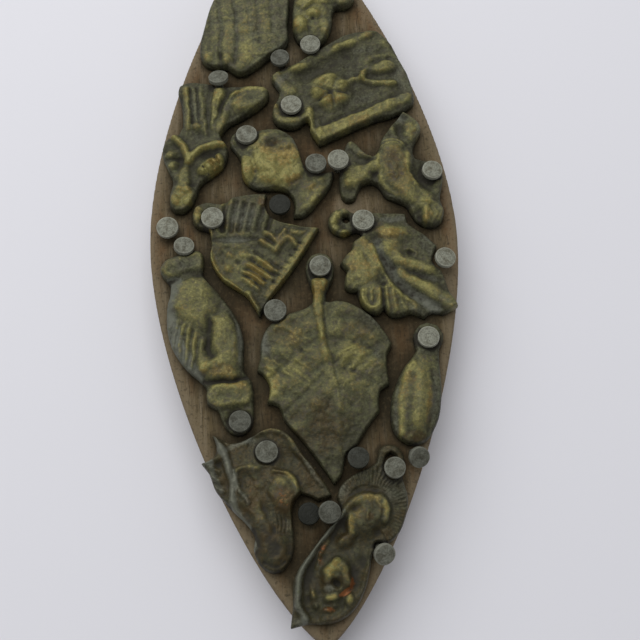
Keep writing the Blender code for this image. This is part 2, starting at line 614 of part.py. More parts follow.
def make_bonnet_doll(shop):
    outline = [
        (3.5, -58.0), (5.6, -54.6), (9.8, -52.6), (11.9, -51.4), (12.5, -49.0), (14.6, -48.0),
        (16.8, -49.3), (17.3, -52.0), (16.7, -54.6), (17.4, -58.5), (16.4, -63.2), (13.6, -67.0),
        (10.4, -67.8), (8.9, -72.4), (6.2, -78.6), (1.6, -81.6), (-3.4, -81.6), (-6.9, -82.2, CORNER),
        (-6.2, -78.0), (-5.7, -73.0), (-2.4, -68.4), (1.6, -63.8), (4.3, -60.6),
    ]
    loop = [(16.1, -51.4), (14.8, -49.6), (13.3, -51.4), (13.4, -53.8), (14.9, -55.2), (15.9, -53.8)]
    brim = [(4.9, -61.4), (6.6, -58.8), (9.8, -57.6), (12.5, -58.6), (13.3, -61.2), (12.2, -64.4)]
    head = [ridge(brim, 0.9, 1.9, 1.0), dome(9.4, -61.8, 3.1, 3.8, 2.8)]
    frills = [
        ridge([around(9.6, -60.4, 4.6, turn), around(9.6, -60.4, 6.6, turn)], 0.7, 0.9, 1.0)
        for turn in (-20, 10, 40, 100, 130, 155)
    ]
    body = [
        ridge([(3.4, -63.2), (-1.4, -68.6), (-4.7, -73.6), (-5.0, -78.0), (-2.6, -80.6)], 0.7, 1.1, 1.0),
        ridge([(8.0, -71.6), (6.6, -75.6), (3.8, -79.4), (0.8, -80.7)], 0.7, 0.9, 1.0),
        dome(2.3, -73.6, 3.0, 4.2, 2.4, -12),
        dome(5.2, -67.0, 2.2, 1.6, 1.3, -30),
    ]
    return make_charm("bonnet_doll", outline, head + frills + body, shop, [loop])


def main():
    clear_scene()
    parts = new_collection("charm_board")
    cutters = new_collection("nail_spaces")
    wood = material("board_wood", (0.16, 0.085, 0.05), 0.6, 0.0)
    brass = material("charm_brass", (0.20, 0.17, 0.08), 0.45, 1.0)
    steel = material("nail_steel", (0.36, 0.36, 0.34), 0.5, 1.0)
    shop = (parts, cutters, brass)
    make_nails(parts, cutters, steel)
    steps = make_board(parts, cutters, wood)
    for make in (
        make_corn_ear,
        make_berry_cluster,
        make_acorn,
        make_rose_panel,
        make_tied_sheaf,
        make_fish,
        make_leaping_hare,
        make_pennant,
        make_clasped_hands,
        make_toothed_leaf,
        make_vine_leaf,
        make_pod,
        make_horse_head,
        make_bonnet_doll,
    ):
        steps += make(shop)
    for body, name, operation, operands in steps:
        boolean(body, name, operation, operands)


if __name__ == "__main__":
    main()
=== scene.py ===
"""Looks of a butter print board: aged brass castings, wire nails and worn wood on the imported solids."""

import math
from collections import namedtuple
from functools import wraps

import bpy
import numpy as np
from bpy.props import FloatProperty, FloatVectorProperty, IntProperty, PointerProperty
from bpy.types import Operator, Panel, PropertyGroup
from mathutils import Matrix, Vector
from mathutils.geometry import tessellate_polygon


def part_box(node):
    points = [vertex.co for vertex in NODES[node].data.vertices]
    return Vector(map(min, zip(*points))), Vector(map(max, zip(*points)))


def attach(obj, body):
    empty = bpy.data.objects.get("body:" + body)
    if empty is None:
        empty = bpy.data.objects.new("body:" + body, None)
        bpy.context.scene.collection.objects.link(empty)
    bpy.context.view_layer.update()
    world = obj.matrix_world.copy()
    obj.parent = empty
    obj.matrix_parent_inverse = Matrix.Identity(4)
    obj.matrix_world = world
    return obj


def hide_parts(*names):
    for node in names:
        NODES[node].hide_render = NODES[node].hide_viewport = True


bl_info = {
    "name": "Butter Print Board",
    "version": (1, 0, 0),
    "blender": (4, 5, 0),
    "location": "3D View > Sidebar > Print Board",
    "description": "Dresses a nailed print board: cast brass charms, wire nails, worn wood and a stage",
    "category": "Object",
}

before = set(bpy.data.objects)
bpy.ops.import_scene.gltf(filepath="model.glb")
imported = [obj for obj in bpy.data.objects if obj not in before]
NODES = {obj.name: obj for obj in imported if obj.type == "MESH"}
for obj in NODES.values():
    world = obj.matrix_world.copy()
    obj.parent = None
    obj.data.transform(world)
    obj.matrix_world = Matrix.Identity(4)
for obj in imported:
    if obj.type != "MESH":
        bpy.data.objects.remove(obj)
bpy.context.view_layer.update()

MM = 0.001
REACH = 3.0  # mm from an outline within which distances to it are measured
MERGE = 0.01  # mm within which two points are one
CURVE_STEPS = 6  # straight pieces between two points of a smooth line
CORNER_DEGREES = 38  # outlines stay sharp where they turn by more than this
SHARP_DEGREES = 40  # nails stay sharp where their faces meet at more than this
SEAM = 0.02  # mm between a casting and the board, and between the board and the floor
FAR = 1000.0  # mm, further than anything on the board

WAVER, WAVER_SIZE = 0.24, 2.7  # mm by which drawn forms stray, and the length of the waves
QUIVER, QUIVER_SIZE = 0.12, 1.0  # the same for the finer waves
GRAINS = ((0.45, 0.9), (1.1, 2.2), (2.6, 3.6))  # mm across a casting's grains, and their share of the height
FOLD_STRETCH = 4  # times that a wrinkle is longer than wide
BEAD_REACH = 1.6  # half widths at which a bead's soft flank ends
CLOSE, WIDE = 0.35, 1.4  # mm over which ridges and hollows are told from their surroundings
HIGH = 1.4  # mm of rise at which the relief is fully rubbed
RIM_REACH = 1.2  # mm from its outline to which a casting's rim stays dull
NAIL_GAP = 0.12  # mm kept free below a nail's head
NAIL_EASE = 0.1  # mm round a nail's head before the relief may rise again
NAIL_SLOPE = 1.5  # steepness of that rise
NAIL_SHADOW_REACH = 0.9  # mm over which the painted shadow round a nail's head thins out
GRAIN_LENGTH = 5  # times that the board's waves are longer along its grain
SHELTER = 2.6  # mm from the castings to which the board is grimy and painted with shade
GRIME_AND_SHADE_FADE = 2.0  # mm from a casting over which the grime and painted shade beside it thin out
BARE_EDGE = 4.5  # mm from its edge over which the board is worn bare
CLEAN_EDGE = 6.0  # mm from its edge over which the board holds less grime and painted shade
HEAD_CORNER = 2.5  # the corners of a nail's profile past this number are rounded
DENT = 1.8  # mm across a dent in a nail's head
SKY_TINT = (1.0, 1.0, 1.03, 1.0)

# How dark each nail is, from nail_01 on, where 1 is black.
TONES = (
    0.45, 0.60, 0.25, 0.10, 0.35, 0.50, 0.20, 0.00, 0.90, 0.15, 0.10, 0.30, 0.15, 0.00,
    0.35, 0.50, 0.15, 0.60, 0.50, 0.80, 0.45, 0.50, 1.00, 0.64, 0.35, 0.20, 0.20, 0.20,
)
# Patches of the board painted lighter where light falls or darker where shade lies: x, y and reach in mm, and
# the grime and painted shade added, negative for painted light.
LIGHT_AND_SHADE_PATCHES = (
    (11.0, 6.0, 5.0, -1.50), (31.0, -12.0, 6.0, -1.40), (-12.0, -28.0, 4.0, -0.25),
    (-3.0, -13.0, 5.0, 0.35), (14.0, -63.5, 4.5, 1.30), (0.5, -84.5, 3.0, 0.45),
)
Nail = namedtuple("Nail", "name tip axis length seat point head shank")


def length(default, name, description):
    return FloatProperty(name=name, description=description, default=default, unit="LENGTH", precision=5)


def colour(default, name, description):
    return FloatVectorProperty(
        name=name, description=description, default=default, min=0, max=1, size=3, subtype="COLOR"
    )


class CastingSettings(PropertyGroup):
    """Sizes and colours that the brass castings share"""

    pitch: length(0.16 * MM, "Mesh Pitch", "Spacing of a casting's surface points")
    plate: length(2.1 * MM, "Plate", "Height of the plain plate above the board")
    wall: length(0.9 * MM, "Wall", "Height of the upright wall round a casting's foot")
    rounding: length(0.45 * MM, "Rounding", "Width of the rounded rim above the wall")
    softness: length(0.12 * MM, "Softness", "How far the worn relief is blurred")
    grain: length(0.05 * MM, "Casting Grain", "Height of the grain left by the mould")
    relief: FloatProperty(name="Relief", description="Scale of the relief's heights", default=1.2, min=0)
    # Gold and ochre also colour the painted highlights on the castings.
    gold: colour((0.190, 0.174, 0.056), "Rubbed Brass", "Colour of the rubbed high spots")
    # Painted glints: the brightest flecks on the high spots stand for glints of light.
    painted_glint: colour((0.270, 0.240, 0.100), "Glints", "Colour of the brightest flecks on the high spots")
    ochre: colour((0.168, 0.122, 0.033), "Ochre Brass", "Colour of the browner rubbed patches")
    brown: colour((0.050, 0.033, 0.011), "Brown Patina", "Colour of the warm brown patches")
    olive: colour((0.067, 0.066, 0.029), "Patina", "Colour of the even brown-green patina")
    umber: colour((0.027, 0.026, 0.013), "Dark Patina", "Colour of the darkest patina")
    film: colour((0.122, 0.127, 0.098), "Grey Film", "Colour of the pale grey-green film")
    # The dirt colour also paints shade in the creases, at the casting's foot and round the nails.
    dirt_and_shade: colour((0.023, 0.021, 0.014), "Dirt", "Colour of the dirt in the hollows")
    copper: colour((0.165, 0.060, 0.018), "Copper Blush", "Colour of the red worn patches")
    green: colour((0.070, 0.078, 0.036), "Green Tarnish", "Colour of the small green stains")
    mauve: colour((0.062, 0.050, 0.040), "Mauve Tarnish", "Colour of the small grey-red stains")


class BoardSettings(PropertyGroup):
    """Sizes and colours of the wooden board"""

    pitch: length(0.35 * MM, "Mesh Pitch", "Spacing of the face's surface points")
    arris: length(0.9 * MM, "Arris", "Radius of the rounded edges")
    wave: length(0.12 * MM, "Wave", "Height of the face's slow waves")
    brown: colour((0.104, 0.078, 0.040), "Wood", "Main colour of the wood")
    pale: colour((0.175, 0.140, 0.088), "Pale Grain", "Colour of the pale grain and worn edges")
    red: colour((0.125, 0.066, 0.027), "Red Grain", "Colour of the red-brown patches")
    # The film and grime colours also paint shade round the castings, in the gaps between them and round the
    # nails.
    film: colour((0.028, 0.022, 0.011), "Film", "Colour of the thin grime over the wood")
    dark: colour((0.020, 0.017, 0.010), "Grime", "Colour of the thick grime round the castings")


class NailSettings(PropertyGroup):
    """Sizes and colours of the wire nails"""

    sides: IntProperty(name="Sides", description="Corners round a nail", default=40, min=8)
    rounding: length(0.16 * MM, "Head Rounding", "Rounding of the head's edges")
    crown: length(0.05 * MM, "Crown", "Rise of the head's middle")
    batter: length(0.10 * MM, "Batter", "How far hammering moved the metal")
    steel: colour((0.200, 0.204, 0.158), "Steel", "Colour of the grey heads")
    # The rim colour is partly a painted highlight on the rounded edge of the heads.
    rim: colour((0.330, 0.334, 0.275), "Rim", "Colour of the rubbed edges")
    rust: colour((0.095, 0.086, 0.054), "Stain", "Colour of the brown stains on the heads")
    black: colour((0.010, 0.011, 0.007), "Blackened Steel", "Colour of the dark heads and of the pits")


class StageSettings(PropertyGroup):
    """Camera, lights and floor"""

    lens: FloatProperty(name="Lens", description="Focal length", default=56.25, unit="CAMERA")
    eye: FloatVectorProperty(
        name="Eye", description="Place of the camera", subtype="TRANSLATION", precision=5,
        default=(-1.93 * MM, -92.26 * MM, 208.48 * MM),
    )
    sight: FloatVectorProperty(
        name="Sight", description="Direction that the camera looks in", subtype="DIRECTION",
        default=(0.0204, 0.3414, -0.9397),
    )
    upright: FloatVectorProperty(
        name="Upright", description="Upward direction of the picture", subtype="DIRECTION",
        default=(0.0561, 0.938, 0.342),
    )
    floor: colour((0.69, 0.69, 0.725), "Floor", "Colour of the floor")
    sky: FloatProperty(name="Sky", description="Strength of the light from all round", default=0.46)
    key: FloatProperty(name="Key", description="Power of the large soft lamp", default=4.6, unit="POWER")
    key_size: length(0.85, "Key Size", "Width of the large soft lamp")
    key_place: FloatVectorProperty(
        name="Key Place", description="Place of the large soft lamp", subtype="TRANSLATION",
        default=(-0.17, 0.35, 0.56),
    )
    floor_half: length(2.0, "Floor Half", "Half the width of the floor")
    nearest: length(0.01, "Nearest", "Distance from which the camera sees")


class Value:
    """A node's output that adds Math nodes to its tree when it is used in an expression."""

    def __init__(self, tree, socket):
        self.tree = tree
        self.socket = socket

    def math(self, operation, first, second):
        return self.tree.add("ShaderNodeMath", {"operation": operation}, {0: first, 1: second})

    def __add__(self, other):
        return self.math("ADD", self, other)

    def __sub__(self, other):
        return self.math("SUBTRACT", self, other)

    def __rsub__(self, other):
        return self.math("SUBTRACT", other, self)

    def __mul__(self, other):
        return self.math("MULTIPLY", self, other)

    def __truediv__(self, other):
        return self.math("DIVIDE", self, other)

    def __pow__(self, other):
        return self.math("POWER", self, other)

    __radd__ = __add__
    __rmul__ = __mul__

    @property
    def swing(self):
        """How far a noise is above its middle."""
        return self - 0.5


class Tree:
    """A node tree of a material or a modifier."""

    def __init__(self, nodes):
        self.nodes = nodes.nodes
        self.links = nodes.links

    def add(self, kind, settings=None, sockets=None, output=0):
        """A new node with its settings, then the values or links of its sockets. One output is returned."""
        node = self.nodes.new(kind)
        for name, value in (settings or {}).items():
            setattr(node, name, value)
        for key, value in (sockets or {}).items():
            if isinstance(value, Value):
                self.links.new(value.socket, node.inputs[key])
            else:
                node.inputs[key].default_value = value
        return Value(self, node.outputs[output]) if len(node.outputs) else node

    def attribute(self, name):
        return self.add("ShaderNodeAttribute", {"attribute_name": name}, output="Fac")

    def coordinates(self, stretch=(1.0, 1.0, 1.0)):
        place = self.add("ShaderNodeTexCoord", output="Object")
        return self.add("ShaderNodeMapping", {}, {"Vector": place, "Scale": stretch})

    def noise(self, place, size, detail=3.0, roughness=0.55):
        """Noise from 0 to 1 whose blots are about this many metres across."""
        sockets = {"Vector": place, "Scale": 1 / size, "Detail": detail, "Roughness": roughness}
        return self.add("ShaderNodeTexNoise", {}, sockets, "Fac")

    def smooth(self, value, low, high):
        settings = {"interpolation_type": "SMOOTHSTEP"}
        return self.add("ShaderNodeMapRange", settings, {"Value": value, "From Min": low, "From Max": high})

    def mix(self, factor, first, second):
        """From the first colour to the second."""
        sockets = {0: factor, 6: rgba(first), 7: rgba(second)}
        return self.add("ShaderNodeMix", {"data_type": "RGBA"}, sockets, 2)

    def bump(self, height, distance, strength):
        sockets = {"Height": height, "Distance": distance, "Strength": strength}
        return self.add("ShaderNodeBump", {}, sockets)


def rgba(value):
    return value if isinstance(value, Value) else (*value, 1.0)


def new_material(name):
    """An empty material, its node tree and its shader."""
    made = bpy.data.materials.new(name)
    made.use_nodes = True
    shader = made.node_tree.nodes["Principled BSDF"]
    return made, Tree(made.node_tree), shader


def feed(tree, shader, **sockets):
    """Links or sets the shader's sockets, named with _ for spaces."""
    for name, value in sockets.items():
        socket = shader.inputs[name.replace("_", " ")]
        if isinstance(value, Value):
            tree.links.new(value.socket, socket)
        else:
            socket.default_value = value


def aged_brass(settings):
    """Brass with a brown-green patina, rubbed to gold on high spots with painted highlights and glints among
    them, filmed grey, and darkened in the hollows by dirt and painted shade.
    """
    made, tree, shader = new_material("aged_brass")
    place = tree.coordinates()
    specks = tree.noise(place, 0.22 * MM, 2.0)
    fine = tree.noise(place, 0.55 * MM)
    stains = tree.noise(place, 1.1 * MM)
    blots = tree.noise(place, 2.2 * MM)
    hues = tree.noise(place, 4.0 * MM)
    clouds = tree.noise(place, 10.0 * MM)
    # Rubbed brass, with painted highlights from some of the brighter patches and lines.
    wear_and_light = tree.attribute("wear_and_light") + blots.swing * 0.30 + fine.swing * 0.60 + specks.swing * 0.40
    gold = tree.smooth(wear_and_light, 0.20, 1.05)
    haze = tree.attribute("film") + clouds.swing * 0.6 + blots.swing * 0.5 + fine.swing + specks.swing * 0.5
    film = tree.smooth(haze, 0.10, 1.15) * (1 - gold * 0.75) * 0.80
    # Dirt in the hollows, together with painted shade in the creases, at the foot and round the nails.
    dirt_and_shade = tree.smooth(tree.attribute("grime_and_shade") + fine.swing * 0.6 + blots.swing * 0.3, 0.25, 0.95)
    blush = tree.attribute("blush") + fine.swing * 0.9
    warm = tree.smooth(blush + hues.swing * 0.9 + specks.swing * 0.4, 0.12, 0.60) * (1 - gold * 0.6) * 0.85
    bare = tree.smooth(wear_and_light, -0.15, 0.40)
    base = tree.mix(bare, settings.umber, settings.olive)
    base = tree.mix(warm, base, settings.brown)
    base = tree.mix(film, base, settings.film)
    base = tree.mix(tree.smooth(stains, 0.50, 0.72) * bare * 0.6, base, settings.green)
    base = tree.mix(tree.smooth(stains, 0.50, 0.30) * bare * 0.6, base, settings.mauve)
    browner = tree.smooth(hues + fine.swing * 0.3 + blush * 0.5, 0.52, 0.66)
    base = tree.mix(gold, base, tree.mix(browner, settings.gold, settings.ochre))
    flecks = fine + specks.swing * 0.6 + stains.swing * 0.4
    base = tree.mix(tree.smooth(flecks, 0.52, 0.26) * gold * 0.55, base, settings.olive)
    # Painted glints on the rubbed high spots.
    base = tree.mix(tree.smooth(flecks, 0.54, 0.78) * gold * 0.5, base, settings.painted_glint)
    base = tree.mix(tree.smooth(blush, 0.62, 0.95), base, settings.copper)
    base = tree.mix(dirt_and_shade, base, settings.dirt_and_shade)
    feed(
        tree, shader, Base_Color=base, Specular_IOR_Level=0.24,
        Metallic=(0.22 + gold * 0.14 + warm * 0.24) * (1 - dirt_and_shade),
        Roughness=0.57 - gold * 0.06 - warm * 0.13 + dirt_and_shade * 0.3 + blots.swing * 0.12,
        Normal=tree.bump(fine + specks * 0.7, 0.09 * MM, 0.8),
    )
    return made


def worn_wood(settings):
    """Brown wood with its grain along Y, red patches, pale worn edges, grime and painted shade round the
    castings, and a few patches of painted light and shade.
    """
    made, tree, shader = new_material("worn_wood")
    place = tree.coordinates()
    along = tree.coordinates((1.0, 0.055, 1.0))
    streaks = tree.noise(along, 0.9 * MM, 5.0, 0.65)
    bands = tree.noise(along, 4.5 * MM, 3.0)
    pores = tree.noise(tree.coordinates((1.0, 0.09, 1.0)), 0.32 * MM, 2.0)
    patches = tree.noise(place, 14.0 * MM)
    specks = tree.noise(place, 0.5 * MM)
    grit = tree.noise(place, 0.9 * MM, 4.0, 0.7)
    grime_and_shade = tree.attribute("grime_and_shade")
    edge = tree.attribute("wear_and_light")
    base = tree.mix(tree.smooth(streaks, 0.38, 0.7), settings.brown, settings.pale)
    base = tree.mix(tree.smooth(patches + bands.swing * 0.8, 0.42, 0.70) * 0.80, base, settings.red)
    base = tree.mix(tree.smooth(pores, 0.54, 0.68) * 0.6, base, settings.dark)
    # Thin grime, deeper round the castings, where it also paints shade.
    haze = grime_and_shade + bands.swing * 0.5 + patches.swing * 0.5
    base = tree.mix(tree.smooth(haze, 0.0, 0.7) * 0.92, base, settings.film)
    # Pale worn edges, and painted light in the lightened patches.
    base = tree.mix(tree.smooth(edge + specks.swing * 0.5, 0.25, 0.8) * 0.75, base, settings.pale)
    # Thick grime and painted shade round the castings.
    base = tree.mix(tree.smooth(grime_and_shade + specks.swing * 0.4, 0.52, 1.05), base, settings.dark)
    base = tree.mix(tree.smooth(grit, 0.52, 0.68) * 0.40, base, settings.brown)
    base = tree.mix(tree.smooth(grit, 0.48, 0.32) * 0.55, base, settings.dark)
    feed(
        tree, shader, Base_Color=base, Specular_IOR_Level=0.08,
        Roughness=0.72 + streaks.swing * 0.2,
        Normal=tree.bump(streaks + pores * 0.6 + specks * 0.4 + grit * 0.6, 0.12 * MM, 0.6),
    )
    return made


def grey_steel(settings):
    """Dull grey steel with a brighter rim, rubbed and partly a painted highlight, ring scratches, fine pits
    and stains, blackened on some nails.
    """
    made, tree, shader = new_material("grey_steel")
    place = tree.coordinates()
    pits = tree.noise(place, 0.36 * MM, 2.0)
    stains = tree.noise(place, 1.3 * MM)
    reach = tree.attribute("reach")
    rings = tree.add(
        "ShaderNodeTexNoise", {"noise_dimensions": "1D"}, {"W": reach * 16 + stains * 5, "Scale": 1.0}, "Fac"
    )
    tone = tree.attribute("tone")
    base = tree.mix(tree.smooth(stains, 0.40, 0.70) * 0.7, settings.steel, settings.rust)
    base = tree.mix(tree.smooth(pits - rings.swing * 0.5, 0.50, 0.32) * 0.28, base, settings.rim)
    base = tree.mix(tree.smooth(pits + rings.swing * 0.7, 0.50, 0.66) * 0.38, base, settings.black)
    # Brighter rim: rubbed, and partly a painted highlight on the rounded edge.
    base = tree.mix(tree.smooth(reach, 0.84, 0.97) * 0.45, base, settings.rim)
    base = tree.mix(tree.smooth(tone + stains.swing * 0.5 * (1 - tone), 0.0, 1.0), base, settings.black)
    feed(
        tree, shader, Base_Color=base, Metallic=0.15, Specular_IOR_Level=0.22,
        Roughness=0.56 + stains.swing * 0.3,
        Normal=tree.bump(pits + rings * 0.7, 0.11 * MM, 0.8),
    )
    return made


def material(name, make, settings):
    """The material of this name, made where there is none yet."""
    return bpy.data.materials.get(name) or make(settings)


def smooth_line(points, closed=False, corners=()):
    """Points on a smooth curve through the given ones, which stays sharp at the corners."""
    points = np.asarray(points, float)
    count = len(points)
    before = np.roll(points, 1, 0)
    after = np.roll(points, -1, 0)
    if not closed:
        before[0] = points[0]
        after[-1] = points[-1]
    tangent = (after - before) / 2
    leave, arrive = tangent.copy(), tangent.copy()
    for i in corners:
        leave[i] = after[i] - points[i]
        arrive[i] = points[i] - before[i]
    made = []
    for i in range(count if closed else count - 1):
        j = (i + 1) % count
        for t in np.arange(CURVE_STEPS) / CURVE_STEPS:
            made.append(
                (2 * t**3 - 3 * t**2 + 1) * points[i] + (t**3 - 2 * t**2 + t) * leave[i]
                + (3 * t**2 - 2 * t**3) * points[j] + (t**3 - t**2) * arrive[j]
            )
    if not closed:
        made.append(points[-1])
    return np.array(made)


def chain(links):
    """Closed loops of indices from a table of each index to the next."""
    links = dict(links)
    loops = []
    while links:
        start = next(iter(links))
        loop = [start]
        step = links.pop(start)
        while step != start:
            loop.append(step)
            step = links.pop(step)
        loops.append(loop)
    return loops


def foot_loops(node):
    """The smooth outlines of a solid's flat underside, holes included, in millimetres."""
    mesh = NODES[node].data
    points = np.array([vertex.co for vertex in mesh.vertices]) / MM
    foot = points[:, 2].min() + MERGE
    keys = [tuple(key) for key in np.round(points[:, :2] / MERGE).astype(int)]
    place = {key: point[:2] for key, point in zip(keys, points)}
    sides = set()
    for face in mesh.polygons:
        corners = list(face.vertices)
        if all(points[i, 2] < foot for i in corners):
            sides |= {(keys[a], keys[b]) for a, b in zip(corners, corners[1:] + corners[:1])}
    rim = {(b, a) for a, b in sides if (b, a) not in sides}
    return [round_loop(np.array([place[key] for key in loop])) for loop in chain(rim)]


def round_loop(points):
    """A loop made smooth, apart from its sharp corners."""
    into = points - np.roll(points, 1, 0)
    out = np.roll(points, -1, 0) - points
    turn = np.degrees(np.arctan2(into[:, 0] * out[:, 1] - into[:, 1] * out[:, 0], (into * out).sum(1)))
    return smooth_line(points, True, np.flatnonzero(abs(turn) > CORNER_DEGREES))


def to_segment(x, y, start, end):
    """Distance to a straight piece of line, and where along it the nearest point is, from 0 to 1."""
    span = end - start
    right, up = x - start[0], y - start[1]
    along = np.clip((right * span[0] + up * span[1]) / max(span @ span, MERGE**2), 0, 1)
    return np.hypot(right - along * span[0], up - along * span[1]), along


def measure(x, y, loops):
    """How far inside the loops each grid point lies, up to REACH, negative outside."""
    edge = np.full(x.shape, REACH)
    inside = np.zeros(x.shape, bool)
    columns, rows = x[0], y[:, 0]
    for loop in loops:
        for start, end in zip(loop, np.roll(loop, -1, 0)):
            low, high = np.minimum(start, end), np.maximum(start, end)
            i = slice(*np.searchsorted(rows, (low[1] - REACH, high[1] + REACH)))
            j = slice(*np.searchsorted(columns, (low[0] - REACH, high[0] + REACH)))
            away, _ = to_segment(x[i, j], y[i, j], start, end)
            edge[i, j] = np.minimum(edge[i, j], away)
            k = slice(*np.searchsorted(rows, (low[1], high[1])))
            if k.start < k.stop:
                span = end - start
                crossing = start[0] + (rows[k] - start[1]) * span[0] / span[1]
                inside[k] ^= columns[None, :] < crossing[:, None]
    return np.where(inside, edge, -edge)


def arc(x, y, radius, first, last, count):
    """Points on part of a circle, between two angles in degrees."""
    turns = np.radians(np.linspace(first, last, count))
    return [(x + radius * math.cos(t), y + radius * math.sin(t)) for t in turns]


def grain(x, y, size, seed):
    """Smooth noise from -1 to 1 with bumps about this many millimetres across."""
    u, v = x / size, y / size
    i, j = np.floor(u).astype(int), np.floor(v).astype(int)
    lattice = np.random.RandomState(seed).uniform(-1, 1, (np.ptp(j) + 2, np.ptp(i) + 2))
    p, q = u - i, v - j
    p, q = p * p * (3 - 2 * p), q * q * (3 - 2 * q)
    i, j = i - i.min(), j - j.min()
    low = lattice[j, i] * (1 - p) + lattice[j, i + 1] * p
    high = lattice[j + 1, i] * (1 - p) + lattice[j + 1, i + 1] * p
    return low * (1 - q) + high * q


def blurred(field, radius):
    """The field averaged three times over a square of this many points each way."""
    for _ in range(3):
        for axis in (0, 1):
            pad = [(radius + 1, radius) if k == axis else (0, 0) for k in (0, 1)]
            total = np.cumsum(np.pad(field, pad, mode="edge"), axis)
            width = 2 * radius + 1
            count = field.shape[axis]
            upper = total.take(range(width, width + count), axis)
            field = (upper - total.take(range(count), axis)) / width
    return field


def cells(grid):
    """The values at the four corners of every cell of a grid, in order round the cell."""
    return np.stack([grid[:-1, :-1], grid[:-1, 1:], grid[1:, 1:], grid[1:, :-1]], -1)


class Sheet:
    """A height field in millimetres over a fine grid inside a solid's outline, turned into a closed mesh."""

    def __init__(self, node, pitch, grown=False):
        self.node = node
        self.pitch = pitch / MM
        self.loops = foot_loops(node)
        points = np.concatenate(self.loops)
        inset = points[:, 0].min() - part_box(node)[0].x / MM if grown else 0.0
        low, high = points.min(0) - inset - self.pitch, points.max(0) + inset + 2 * self.pitch
        columns, rows = np.arange(low[0], high[0], self.pitch), np.arange(low[1], high[1], self.pitch)
        self.x, self.y = np.meshgrid(columns, rows)
        self.edge = measure(self.x, self.y, self.loops) + inset
        self.fields = {}

    def face(self, layers):
        """The points and faces of the grid, cut along the outline, and the loops of points on that rim."""
        inside = self.edge > 0
        count = inside.sum()
        index = np.full(inside.shape, -1)
        index[inside] = np.arange(count)
        corners = cells(inside)
        whole = corners.all(-1)
        faces = cells(index)[whole].tolist()
        cuts, extra, rim = {}, [], {}

        def cut(a, b):
            """The number of the point where the outline passes between two grid points."""
            key = (a, b) if a < b else (b, a)
            if key not in cuts:
                near, far = self.edge[key[0]], self.edge[key[1]]
                t = near / (near - far)
                cuts[key] = count + len(extra)
                extra.append(layers[key[0]] * (1 - t) + layers[key[1]] * t)
            return cuts[key]

        for i, j in zip(*np.nonzero(corners.any(-1) & ~whole)):
            ring = [(i, j), (i, j + 1), (i + 1, j + 1), (i + 1, j)]
            face, leaving = [], None
            for here, there in zip(ring, ring[1:] + ring[:1]):
                if inside[here]:
                    face.append(int(index[here]))
                if inside[here] != inside[there]:
                    mark = cut(here, there)
                    face.append(mark)
                    if inside[here]:
                        leaving = mark
                    elif leaving is not None:
                        rim[leaving] = mark
                        leaving = None
                    else:
                        arriving = mark
            if leaving is not None:
                rim[leaving] = arriving
            faces.append(face)
        return np.concatenate([layers[inside], np.array(extra)]), faces, chain(rim)

    def walls(self, points, faces, rim, skirts):
        """Adds walls from the rim down through the skirts, and returns all points and the lowest loops."""
        upper = rim
        for inset, z in skirts:
            lower = []
            for outer, loop in zip(rim, upper):
                made = points[outer]
                ahead = np.roll(made, -1, 0)[:, :2] - np.roll(made, 1, 0)[:, :2]
                ahead /= np.maximum(np.linalg.norm(ahead, axis=1), MERGE)[:, None]
                made[:, 0] += inset * ahead[:, 1]
                made[:, 1] -= inset * ahead[:, 0]
                made[:, 2] = z
                below = list(range(len(points), len(points) + len(loop)))
                points = np.concatenate([points, made])
                for k in range(len(loop)):
                    m = (k + 1) % len(loop)
                    faces.append([loop[m], loop[k], below[k], below[m]])
                lower.append(below)
            upper = lower
        return points, upper

    def mesh(self, height, skirts):
        """A mesh of the height field with walls down through the skirts (inset, z), closed at the last."""
        layers = np.stack([self.x, self.y, height, *self.fields.values()], -1)
        points, faces, rim = self.face(layers)
        points, foot = self.walls(points, faces, rim, skirts)
        rounded = len(faces)
        flat = [i for loop in foot for i in loop]
        outlines = [[Vector((*points[i, :2], 0)) for i in loop] for loop in foot]
        for corners in tessellate_polygon(outlines):
            a, b, c = (flat[i] for i in corners)
            turn = np.cross(points[b, :2] - points[a, :2], points[c, :2] - points[a, :2])
            faces.append([a, c, b] if turn > 0 else [a, b, c])
        made = bpy.data.meshes.new(self.node)
        made.from_pydata((points[:, :3] * MM).tolist(), [], faces)
        made.polygons.foreach_set("use_smooth", np.arange(len(faces)) < rounded)
        for column, name in enumerate(self.fields, 3):
            made.attributes.new(name, "FLOAT", "POINT").data.foreach_set("value", points[:, column])
        made.update()
        return made


def add_piece(name, mesh, finish, slot, *nodes):
    """Puts a finished mesh in the scene, riding on the board in place of these solids."""
    mesh.materials.clear()
    mesh.materials.append(finish)
    piece = bpy.data.objects.new(name, mesh)
    bpy.context.scene.collection.objects.link(piece)
    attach(piece, "root")
    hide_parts(*nodes)


def nails():
    """Every nail node's name, tip, axis and sizes, in millimetres along its axis from the tip."""
    found = []
    for name in sorted(NODES):
        if not name.startswith("nail_"):
            continue
        points = np.array([vertex.co for vertex in NODES[name].data.vertices]) / MM
        points = np.unique(np.round(points, 3), axis=0)
        tip = points[points[:, 2].argmin()]
        axis = points.mean(0) - tip
        axis /= np.linalg.norm(axis)
        along = (points - tip) @ axis
        away = np.linalg.norm(points - tip - along[:, None] * axis, axis=1)
        point = along[away > MERGE].min()
        shank = away[abs(along - point) < MERGE].max()
        seat = along[away > away.max() - MERGE].min()
        found.append(Nail(name, tip, axis, along.max(), seat, point, away.max(), shank))
    return found


def each_form(draw):
    """Lets a method that draws one form take any number of them, each a tuple of its values."""

    @wraps(draw)
    def draw_all(self, *forms):
        for form in forms:
            draw(self, *form)

    return draw_all


